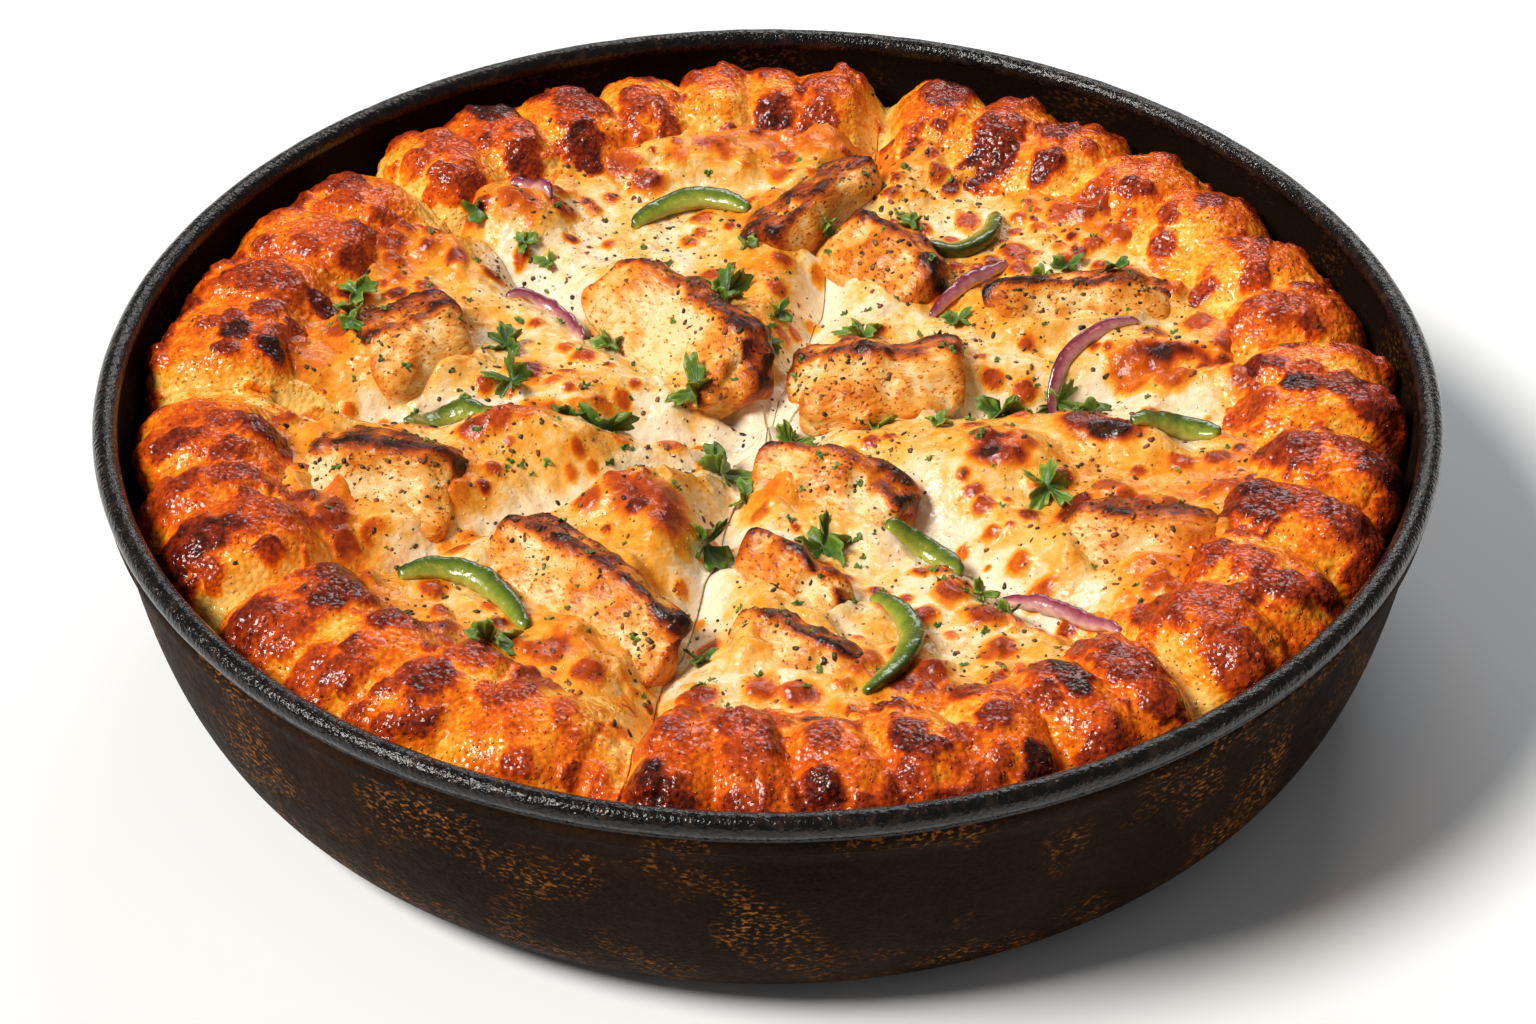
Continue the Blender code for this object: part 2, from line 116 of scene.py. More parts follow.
def lattice_draw(cell: np.ndarray, seed: int) -> np.ndarray:
    """A number between -1 and 1 for each whole-numbered cell.

    Args:
        cell: whole numbers, one row of three for each point.
        seed: which set of numbers to give.

    Returns:
        One number for each row.
    """
    key = cell.astype(np.uint64) @ np.array([0x9E3779B1, 0x85EBCA77, 0xC2B2AE3D], np.uint64)
    key += np.uint64(seed * 0x27D4EB2F)
    for multiplier in (0xFF51AFD7ED558CCD, 0xC4CEB9FE1A85EC53):
        key ^= key >> np.uint64(33)
        key *= np.uint64(multiplier)
    key ^= key >> np.uint64(33)
    return (key >> np.uint64(11)).astype(float) / 2.0**52 - 1.0


@dataclass(frozen=True)
class Noise:
    """Smooth random waves in space, the same on each run.

    Attributes:
        size: the length of the largest waves.
        seed: which waves to draw.
        octaves: how many halvings of the size are added, each at half the strength.
    """

    size: float
    seed: int
    octaves: int = 1

    def _waves(self, points: np.ndarray, size: float, seed: int) -> np.ndarray:
        """One octave of the waves.

        Args:
            points: one row of x, y, z for each point.
            size: the waves' length.
            seed: which waves to draw.

        Returns:
            One number for each point.
        """
        scaled = points / size + 4096.0
        cell = np.floor(scaled)
        part = scaled - cell
        fade = part**3 * (part * (part * 6.0 - 15.0) + 10.0)
        total = np.zeros(len(points))
        for corner in itertools.product((0, 1), repeat=3):
            weight = np.prod(np.where(corner, fade, 1.0 - fade), axis=1)
            total += weight * lattice_draw(cell + corner, seed)
        return total

    def at(self, points: np.ndarray) -> np.ndarray:
        """The waves' height at each point.

        Args:
            points: an array whose last axis is x, y, z.

        Returns:
            Numbers mostly between -1 and 1, shaped as the points without their last axis.
        """
        flat = points.reshape(-1, 3)
        total = np.zeros(len(flat))
        for octave in range(self.octaves):
            total += self._waves(flat, self.size / 2**octave, self.seed + octave) / 2**octave
        return (total * 1.4).reshape(points.shape[:-1])


@dataclass(frozen=True)
class Bubbles:
    """Domes of uneven size, scattered about one length apart, the same on each run."""

    size: float
    seed: int
    reach: float = 0.66

    def at(self, points: np.ndarray) -> tuple[np.ndarray, np.ndarray]:
        """The dome at each point.

        Args:
            points: an array whose last axis is x, y, z.

        Returns:
            The dome's height from 0 to 1, and a number from 0 to 1 that is the dome's own.
        """
        flat = points.reshape(-1, 3) / self.size + 4096.0
        cell = np.floor(flat)
        nearest, own = np.full(len(flat), np.inf), np.zeros(len(flat))
        for corner in itertools.product((-1, 0, 1), repeat=3):
            other = cell + corner
            middle = np.stack([lattice_draw(other, self.seed + axis) for axis in range(3)], axis=1)
            off = np.linalg.norm(other + 0.5 + 0.40 * middle - flat, axis=1)
            closer = off < nearest
            nearest = np.where(closer, off, nearest)
            own = np.where(closer, 0.5 + 0.5 * lattice_draw(other, self.seed + 3), own)
        dome = np.clip(1.0 - (nearest / self.reach) ** 2, 0.0, 1.0)
        return dome.reshape(points.shape[:-1]), own.reshape(points.shape[:-1])


def space(x: np.ndarray, y: np.ndarray, z: np.ndarray | float = 0.0) -> np.ndarray:
    """Points from their three coordinates."""
    return np.stack(np.broadcast_arrays(x, y, z), axis=-1).astype(float)


def mesh_piece(
    name: str,
    points: np.ndarray,
    faces: np.ndarray | list,
    material: bpy.types.Material,
    values: dict[str, np.ndarray] | None = None,
) -> bpy.types.Object:
    """Makes a smooth-shaded piece of the pizza from points in millimetres.

    Args:
        name: the piece's name.
        points: one row of x, y, z for each point.
        faces: the numbers of each face's points.
        material: its finish.
        values: numbers or vectors kept on the points, for the finish to read.

    Returns:
        The piece, riding on the model's body.
    """
    mesh = bpy.data.meshes.new(name)
    corners = faces if isinstance(faces, list) else faces.tolist()
    mesh.from_pydata((np.asarray(points) * MM).tolist(), [], corners)
    for label, numbers in (values or {}).items():
        numbers = np.asarray(numbers, dtype=np.float32)
        single = numbers.size == len(points)
        kept = mesh.attributes.new(label, "FLOAT" if single else "FLOAT_VECTOR", "POINT")
        kept.data.foreach_set("value" if single else "vector", numbers.ravel())
    mesh.shade_smooth()
    mesh.materials.append(material)
    piece = bpy.data.objects.new(name, mesh)
    bpy.context.scene.collection.objects.link(piece)
    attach(piece, BODY)
    return piece


def grid_faces(rows: int, columns: int, closed: bool = False) -> np.ndarray:
    """The faces of a grid of points, numbered row by row.

    Args:
        rows: how many rows of points.
        columns: how many points in each row.
        closed: whether the last column joins the first.

    Returns:
        Four point numbers for each face.
    """
    numbers = np.arange(rows * columns).reshape(rows, columns)
    if closed:
        numbers = np.concatenate([numbers, numbers[:, :1]], axis=1)
    corners = (numbers[:-1, :-1], numbers[:-1, 1:], numbers[1:, 1:], numbers[1:, :-1])
    return np.stack(corners, axis=-1).reshape(-1, 4)


class Graph:
    """A material under construction: a Principled shader and short calls for what feeds it."""

    def __init__(self, name: str) -> None:
        """Starts the material.

        Args:
            name: the material's name.
        """
        self.material = bpy.data.materials.new(name)
        self.material.use_nodes = True
        self.tree = self.material.node_tree
        self.shader = self.tree.nodes["Principled BSDF"]
        self.place = self.tree.nodes.new("ShaderNodeTexCoord").outputs["Object"]

    def fix(self, **values: float | tuple) -> None:
        """Sets the shader's own sockets, named with underscores for spaces."""
        for label, value in values.items():
            self.shader.inputs[label.replace("_", " ")].default_value = value

    def feed(self, label: str, source: bpy.types.NodeSocket) -> None:
        """Links a socket to one of the shader's inputs."""
        self.tree.links.new(source, self.shader.inputs[label])

    def relief(self, normal: bpy.types.NodeSocket) -> None:
        """Bends the surface and its coat alike."""
        self.feed("Normal", normal)
        self.feed("Coat Normal", normal)

    def node(self, kind: str, inputs: dict | None = None, **settings: object) -> bpy.types.Node:
        """Adds a node.

        Args:
            kind: the node's type.
            inputs: socket names or numbers with a value or another node's output.
            **settings: the node's own properties.

        Returns:
            The node.
        """
        node = self.tree.nodes.new(kind)
        for label, value in settings.items():
            setattr(node, label, value)
        for label, value in (inputs or {}).items():
            if isinstance(value, bpy.types.NodeSocket):
                self.tree.links.new(value, node.inputs[label])
            else:
                node.inputs[label].default_value = value
        return node

    def math(self, operation: str, first: object, second: object = 0.0) -> bpy.types.NodeSocket:
        """The result of a sum on one or two numbers."""
        return self.node("ShaderNodeMath", {0: first, 1: second}, operation=operation).outputs[0]

    def stretched(self, scale: tuple[float, float, float], source: object = None) -> bpy.types.NodeSocket:
        """The place, or another vector, multiplied along each axis."""
        inputs = {0: source or self.place, 1: scale}
        return self.node("ShaderNodeVectorMath", inputs, operation="MULTIPLY").outputs[0]

    def noise(self, size: float, detail: float = 2.0, place: object = None) -> bpy.types.NodeSocket:
        """Waves between 0 and 1 whose length is size millimetres."""
        inputs = {"Vector": place or self.place, "Scale": 1.0 / (size * MM), "Detail": detail}
        return self.node("ShaderNodeTexNoise", inputs).outputs["Fac"]

    def cells(self, size: float) -> bpy.types.NodeSocket:
        """The distance to scattered points that lie about size millimetres apart."""
        inputs = {"Vector": self.place, "Scale": 1.0 / (size * MM)}
        return self.node("ShaderNodeTexVoronoi", inputs).outputs["Distance"]

    def droplets(self, spacing: float, share: float = 0.5) -> bpy.types.NodeSocket:
        """Small round drops of oil, 1 in the middle of a drop and 0 between them.

        Args:
            spacing: how far apart their cells lie, in millimetres.
            share: how many of the cells hold a drop.

        Returns:
            The drops' height.
        """
        inputs = {"Vector": self.place, "Scale": 1.0 / (spacing * MM)}
        cell = self.node("ShaderNodeTexVoronoi", inputs)
        split = self.node("ShaderNodeSeparateColor", {"Color": cell.outputs["Color"]})
        held = self.math("LESS_THAN", split.outputs[0], share)
        return self.math("MULTIPLY", self.spread(cell.outputs["Distance"], 0.26, 0.08), held)

    def wander(self, source: object, amount: float) -> bpy.types.NodeSocket:
        """A number between 0 and 1 brought to -amount/2..amount/2."""
        return self.spread(source, 0.0, 1.0, -amount / 2.0, amount / 2.0)

    def total(self, *terms: object) -> bpy.types.NodeSocket:
        """The sum of several numbers.

        Args:
            *terms: numbers or other nodes' outputs.

        Returns:
            Their sum.
        """
        result = terms[0]
        for term in terms[1:]:
            result = self.math("ADD", result, term)
        return result

    def kept(self, label: str) -> bpy.types.NodeSocket:
        """A number kept on the mesh's points."""
        return self.node("ShaderNodeAttribute", attribute_name=label).outputs["Fac"]

    def kept_place(self, label: str) -> bpy.types.NodeSocket:
        """A vector kept on the mesh's points."""
        return self.node("ShaderNodeAttribute", attribute_name=label).outputs["Vector"]

    def ramp(self, source: object, stops: Stops) -> bpy.types.NodeSocket:
        """A colour read from a row of stops.

        Args:
            source: the number that picks the colour.
            stops: places between 0 and 1, each with a linear colour.

        Returns:
            The colour.
        """
        node = self.node("ShaderNodeValToRGB", {"Fac": source})
        elements = node.color_ramp.elements
        while len(elements) < len(stops):
            elements.new(0.5)
        for element, (place, colour) in zip(elements, stops):
            element.position = place
            element.color = (*colour, 1.0)
        return node.outputs["Color"]

    def spread(
        self, source: object, low: float, high: float, first: float = 0.0, last: float = 1.0
    ) -> bpy.types.NodeSocket:
        """A number brought from low..high to first..last, held at both ends."""
        inputs = {"Value": source, "From Min": low, "From Max": high, "To Min": first, "To Max": last}
        return self.node("ShaderNodeMapRange", inputs).outputs["Result"]

    def blend(self, share: object, first: object, second: object) -> bpy.types.NodeSocket:
        """Two colours mixed by a share.

        Args:
            share: how much of the second colour there is, from 0 to 1.
            first: the colour at 0.
            second: the colour at 1.

        Returns:
            The mixed colour.
        """
        factor, colour_a, colour_b, mixed = 0, 6, 7, 2
        inputs = {factor: share, colour_a: first, colour_b: second}
        return self.node("ShaderNodeMix", inputs, data_type="RGBA").outputs[mixed]

    def bump(
        self, height: object, depth: float, strength: float = 1.0, under: object = None
    ) -> bpy.types.NodeSocket:
        """A bent normal.

        Args:
            height: a height between 0 and 1.
            depth: how many millimetres a height of 1 stands for.
            strength: how much of the bend to keep.
            under: a coarser bent normal that this one lies on.

        Returns:
            The normal.
        """
        inputs = {"Height": height, "Distance": depth * MM, "Strength": strength}
        if under is not None:
            inputs["Normal"] = under
        return self.node("ShaderNodeBump", inputs).outputs["Normal"]


@dataclass(frozen=True)
class BakedDough:
    """Golden dough whose blisters are baked red-brown, glistening with drops of oil."""

    stops: Stops = (
        (0.00, (0.95, 0.60, 0.15)),
        (0.18, (0.93, 0.36, 0.024)),
        (0.36, (0.83, 0.165, 0.004)),
        (0.52, (0.61, 0.075, 0.003)),
        (0.68, (0.34, 0.036, 0.004)),
        (0.84, (0.150, 0.012, 0.003)),
        (1.00, (0.030, 0.005, 0.003)),
    )

    def build(self) -> bpy.types.Material:
        """Makes the material.

        Returns:
            The material.
        """
        graph = Graph("baked_dough_finish")
        mottle = graph.wander(graph.noise(3.4, 3.0), 0.60)
        fine = graph.wander(graph.noise(0.9, 1.0), 0.50)
        level = graph.total(graph.kept("bake"), mottle, fine)
        drops = graph.droplets(1.15, 0.65)
        graph.feed("Base Color", graph.ramp(level, self.stops))
        rough = graph.spread(graph.noise(1.6, 3.0), 0.3, 0.7, 0.24, 0.46)
        graph.feed("Roughness", graph.math("SUBTRACT", rough, graph.math("MULTIPLY", drops, 0.20)))
        pebbles = graph.spread(graph.cells(1.25), 0.15, 0.75, 1.0, 0.0)
        grain = graph.bump(graph.noise(0.7, 3.0), 0.20, 0.6)
        coarse = graph.bump(pebbles, 0.26, 0.7, grain)
        graph.relief(graph.bump(drops, 0.50, 1.0, coarse))
        graph.fix(Coat_Weight=0.66, Coat_Roughness=0.04, Specular_IOR_Level=0.06)
        return graph.material


@dataclass(frozen=True)
class MeltedCheese:
    """Cream cheese that browns through gold and orange where it blistered."""

    stops: Stops = (
        (0.00, (0.88, 0.75, 0.56)),
        (0.10, (0.87, 0.67, 0.40)),
        (0.20, (0.86, 0.48, 0.115)),
        (0.31, (0.82, 0.33, 0.024)),
        (0.46, (0.70, 0.155, 0.005)),
        (0.64, (0.47, 0.065, 0.006)),
        (0.82, (0.19, 0.018, 0.004)),
        (1.00, (0.030, 0.007, 0.004)),
    )

    def build(self) -> bpy.types.Material:
        """Makes the material.

        Returns:
            The material.
        """
        graph = Graph("melted_cheese_finish")
        broad = graph.wander(graph.noise(11.0, 4.0), 0.36)
        mottle = graph.wander(graph.noise(3.2, 5.0), 0.42)
        fine = graph.wander(graph.noise(0.9, 2.0), 0.16)
        level = graph.total(graph.kept("bake"), broad, mottle, fine)
        drops = graph.droplets(1.7, 0.45)
        graph.feed("Base Color", graph.ramp(level, self.stops))
        rough = graph.spread(graph.noise(2.4, 3.0), 0.3, 0.7, 0.20, 0.42)
        graph.feed("Roughness", graph.math("SUBTRACT", rough, graph.math("MULTIPLY", drops, 0.12)))
        soft = graph.bump(graph.noise(2.0, 4.0), 0.80, 0.7)
        graph.relief(graph.bump(drops, 0.32, 1.0, soft))
        graph.fix(Coat_Weight=0.46, Coat_Roughness=0.06, Specular_IOR_Level=0.12)
        graph.fix(Subsurface_Weight=0.22, Subsurface_Scale=0.0025, Subsurface_Radius=(1.0, 0.62, 0.28))
        return graph.material


@dataclass(frozen=True)
class RoastChicken:
    """Pale fibrous meat whose ridges and skin are browned and charred."""

    stops: Stops = (
        (0.00, (0.87, 0.63, 0.32)),
        (0.14, (0.81, 0.42, 0.095)),
        (0.30, (0.70, 0.215, 0.016)),
        (0.46, (0.50, 0.095, 0.006)),
        (0.63, (0.27, 0.040, 0.006)),
        (0.80, (0.090, 0.014, 0.004)),
        (1.00, (0.016, 0.006, 0.004)),
    )

    def build(self) -> bpy.types.Material:
        """Makes the material.

        Returns:
            The material.
        """
        graph = Graph("roast_chicken_finish")
        grain = graph.stretched((0.40, 1.0, 0.55), graph.kept_place("meat"))
        fibres = graph.noise(1.2, 4.0, grain)
        mottle = graph.wander(graph.noise(3.4, 4.0), 0.52)
        thread = graph.wander(fibres, 0.40)
        flat = graph.stretched((1.0, 1.0, 2.0))
        freckles = graph.spread(graph.noise(1.1, 3.0, flat), 0.58, 0.68, 0.0, 0.34)
        level = graph.total(graph.kept("bake"), mottle, thread, freckles)
        drops = graph.droplets(1.8, 0.5)
        graph.feed("Base Color", graph.ramp(level, self.stops))
        rough = graph.spread(graph.noise(1.5, 3.0), 0.3, 0.7, 0.28, 0.52)
        graph.feed("Roughness", graph.math("SUBTRACT", rough, graph.math("MULTIPLY", drops, 0.16)))
        coarse = graph.bump(fibres, 0.60, 0.9)
        tender = graph.bump(graph.noise(0.5, 3.0), 0.15, 0.6, coarse)
        graph.relief(graph.bump(drops, 0.28, 1.0, tender))
        graph.fix(Coat_Weight=0.36, Coat_Roughness=0.07, Specular_IOR_Level=0.10)
        return graph.material


@dataclass(frozen=True)
class SeasonedSteel:
    """Near-black seasoned steel with patches of rust-brown flecks."""

    dark: tuple[float, float, float, float] = (0.0078, 0.0043, 0.0027, 1.0)
    worn: tuple[float, float, float, float] = (0.030, 0.0140, 0.0062, 1.0)
    fleck: tuple[float, float, float, float] = (0.36, 0.130, 0.024, 1.0)

    def build(self) -> bpy.types.Material:
        """Makes the material.

        Returns:
            The material.
        """
        graph = Graph("seasoned_steel_finish")
        level = graph.stretched((1.0, 1.0, 1.7))
        patches = graph.spread(graph.noise(19.0, 4.0), 0.49, 0.68)
        streaks = graph.spread(graph.noise(1.2, 5.0, level), 0.53, 0.66)
        flecks = graph.math("MULTIPLY", graph.math("MULTIPLY", patches, streaks), graph.kept("flecked"))
        grit = graph.math("ADD", graph.noise(30.0, 3.0), graph.wander(graph.noise(0.9, 4.0), 0.9))
        cloud = graph.math("MULTIPLY", graph.spread(grit, 0.20, 0.90), graph.kept("flecked"))
        base = graph.blend(cloud, self.dark, self.worn)
        graph.feed("Base Color", graph.blend(flecks, base, self.fleck))
        graph.feed("Roughness", graph.spread(graph.noise(2.2, 4.0), 0.3, 0.7, 0.42, 0.60))
        pits = graph.bump(graph.noise(0.8, 4.0), 0.24, 0.7)
        graph.relief(graph.bump(graph.noise(5.0, 3.0, level), 0.35, 0.35, pits))
        graph.fix(Specular_IOR_Level=0.015)
        return graph.material


@dataclass(frozen=True)
class GlossyBead:
    """The rolled edge's shiny black seasoning, slightly pitted."""

    dark: tuple[float, float, float] = (0.0045, 0.0035, 0.0035)
    worn: tuple[float, float, float] = (0.030, 0.017, 0.012)

    def build(self) -> bpy.types.Material:
        """Makes the material.

        Returns:
            The material.
        """
        graph = Graph("glossy_bead_finish")
        stops = ((0.50, self.dark), (0.72, self.worn))
        graph.feed("Base Color", graph.ramp(graph.noise(2.6, 4.0), stops))
        graph.feed("Roughness", graph.spread(graph.noise(1.8, 4.0), 0.3, 0.7, 0.10, 0.26))
        pits = graph.bump(graph.noise(0.8, 3.0), 0.34, 0.9)
        graph.relief(graph.bump(graph.noise(3.2, 2.0), 0.30, 0.4, pits))
        graph.fix(Specular_IOR_Level=0.20, Coat_Weight=0.34, Coat_Roughness=0.05)
        return graph.material


@dataclass(frozen=True)
class PepperSkin:
    """Green pepper: dark glossy skin, and pale ribbed flesh on the inner side."""

    stops: Stops = (
        (0.00, (0.022, 0.048, 0.004)),
        (0.35, (0.070, 0.120, 0.007)),
        (0.65, (0.200, 0.255, 0.018)),
        (1.00, (0.470, 0.450, 0.070)),
    )

    def build(self) -> bpy.types.Material:
        """Makes the material.

        Returns:
            The material.
        """
        graph = Graph("green_pepper_finish")
        mottle = graph.wander(graph.noise(1.8, 4.0), 0.5)
        graph.feed("Base Color", graph.ramp(graph.math("ADD", graph.kept("flesh"), mottle), self.stops))
        graph.feed("Roughness", graph.spread(graph.noise(1.2, 2.0), 0.3, 0.7, 0.14, 0.34))
        graph.relief(graph.bump(graph.noise(1.0, 3.0), 0.25, 0.6))
        graph.fix(Coat_Weight=0.5, Coat_Roughness=0.08, Subsurface_Weight=0.15, Subsurface_Scale=0.0015)
        return graph.material


@dataclass(frozen=True)
class OnionSkin:
    """Red onion: a purple skin edge over pale, wet flesh."""

    stops: Stops = (
        (0.00, (0.090, 0.010, 0.030)),
        (0.40, (0.230, 0.030, 0.060)),
        (0.70, (0.430, 0.150, 0.170)),
        (1.00, (0.720, 0.480, 0.390)),
    )

    def build(self) -> bpy.types.Material:
        """Makes the material.

        Returns:
            The material.
        """
        graph = Graph("red_onion_finish")
        mottle = graph.wander(graph.noise(1.4, 3.0), 0.4)
        graph.feed("Base Color", graph.ramp(graph.math("ADD", graph.kept("flesh"), mottle), self.stops))
        graph.feed("Roughness", graph.spread(graph.noise(1.2, 2.0), 0.3, 0.7, 0.12, 0.30))
        graph.relief(graph.bump(graph.noise(0.8, 2.0), 0.15, 0.5))
        graph.fix(Coat_Weight=0.5, Coat_Roughness=0.08, Subsurface_Weight=0.2, Subsurface_Scale=0.0015)
        return graph.material


@dataclass(frozen=True)
class ParsleyGreen:
    """Chopped parsley, darker towards its veins and lighter at its curled edges."""

    stops: Stops = (
        (0.00, (0.010, 0.032, 0.004)),
        (0.40, (0.038, 0.105, 0.008)),
        (0.75, (0.110, 0.220, 0.017)),
        (1.00, (0.270, 0.370, 0.045)),
    )

    def build(self) -> bpy.types.Material:
        """Makes the material.

        Returns:
            The material.
        """
        graph = Graph("parsley_finish")
        mottle = graph.wander(graph.noise(1.0, 4.0), 0.7)
        graph.feed("Base Color", graph.ramp(graph.math("ADD", graph.kept("edge"), mottle), self.stops))
        graph.feed("Roughness", graph.spread(graph.noise(0.9, 2.0), 0.3, 0.7, 0.30, 0.55))
        graph.relief(graph.bump(graph.noise(0.5, 2.0), 0.12, 0.7))
        graph.fix(Subsurface_Weight=0.1, Subsurface_Scale=0.001)
        return graph.material


@dataclass(frozen=True)
class Peppercorn:
    """Cracked black pepper and burnt herbs: near black with a brown cast."""

    name: str = "cracked_pepper_finish"
    stops: Stops = (
        (0.3, (0.012, 0.009, 0.005)),
        (0.5, (0.075, 0.042, 0.012)),
        (0.8, (0.26, 0.125, 0.028)),
    )

    def build(self) -> bpy.types.Material:
        """Makes the material.

        Returns:
            The material.
        """
        graph = Graph(self.name)
        level = graph.total(graph.noise(0.9, 3.0), graph.wander(graph.kept("shade"), 0.5))
        graph.feed("Base Color", graph.ramp(level, self.stops))
        graph.feed("Roughness", graph.spread(graph.noise(0.6, 2.0), 0.3, 0.7, 0.3, 0.6))
        graph.relief(graph.bump(graph.noise(0.3, 2.0), 0.08, 0.8))
        return graph.material


@dataclass(frozen=True)
class Lump:
    """Chicken that the cheese has covered: where it lies and how far it lifts the cheese."""

    x: float
    y: float
    half_length: float
    half_width: float
    turn: float
    rise: float
    bake: float

    def reach(self, x: np.ndarray, y: np.ndarray) -> np.ndarray:
        """How far places lie from its middle.

        Args:
            x, y: places.

        Returns:
            0 at its middle and 1 at its edge, for each place.
        """
        along, across = turned(x - self.x, y - self.y, self.turn)
        return np.hypot(along / self.half_length, across / self.half_width)


@dataclass(frozen=True)
class Chunk:
    """A piece of chicken that shows: its turn and size; its place comes from its CAD node."""

    node: str
    turn: float
    length: float
    width: float
    height: float
    ridge: float

    @property
    def centre(self) -> tuple[float, float]:
        """The middle of its CAD box."""
        low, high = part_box(self.node)
        return (low[0] + high[0]) / 2 / MM, (low[1] + high[1]) / 2 / MM

    @property
    def top(self) -> float:
        """The top of its CAD box."""
        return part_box(self.node)[1][2] / MM

    def reach(self, x: np.ndarray, y: np.ndarray) -> np.ndarray:
        """How far places lie from its middle.

        Args:
            x, y: places.

        Returns:
            0 at its middle and 1 on its outline, for each place.
        """
        along, across = turned(x - self.centre[0], y - self.centre[1], self.turn)
        return ((along / (self.length / 2)) ** 4 + (across / (self.width / 2)) ** 4) ** 0.25


@dataclass(frozen=True)
class Blister:
    """A bubble on the cheese or the crust: place, two radii, height and how dark it baked."""

    x: float
    y: float
    radius: float
    stretch: float
    height: float
    bake: float


@dataclass(frozen=True)
class Fold:
    """One fold of the crust: its middle and half width in radians, reach along the section, skew."""

    middle: float
    half_width: float
    height: float
    inner: float
    outer: float
    skew: float


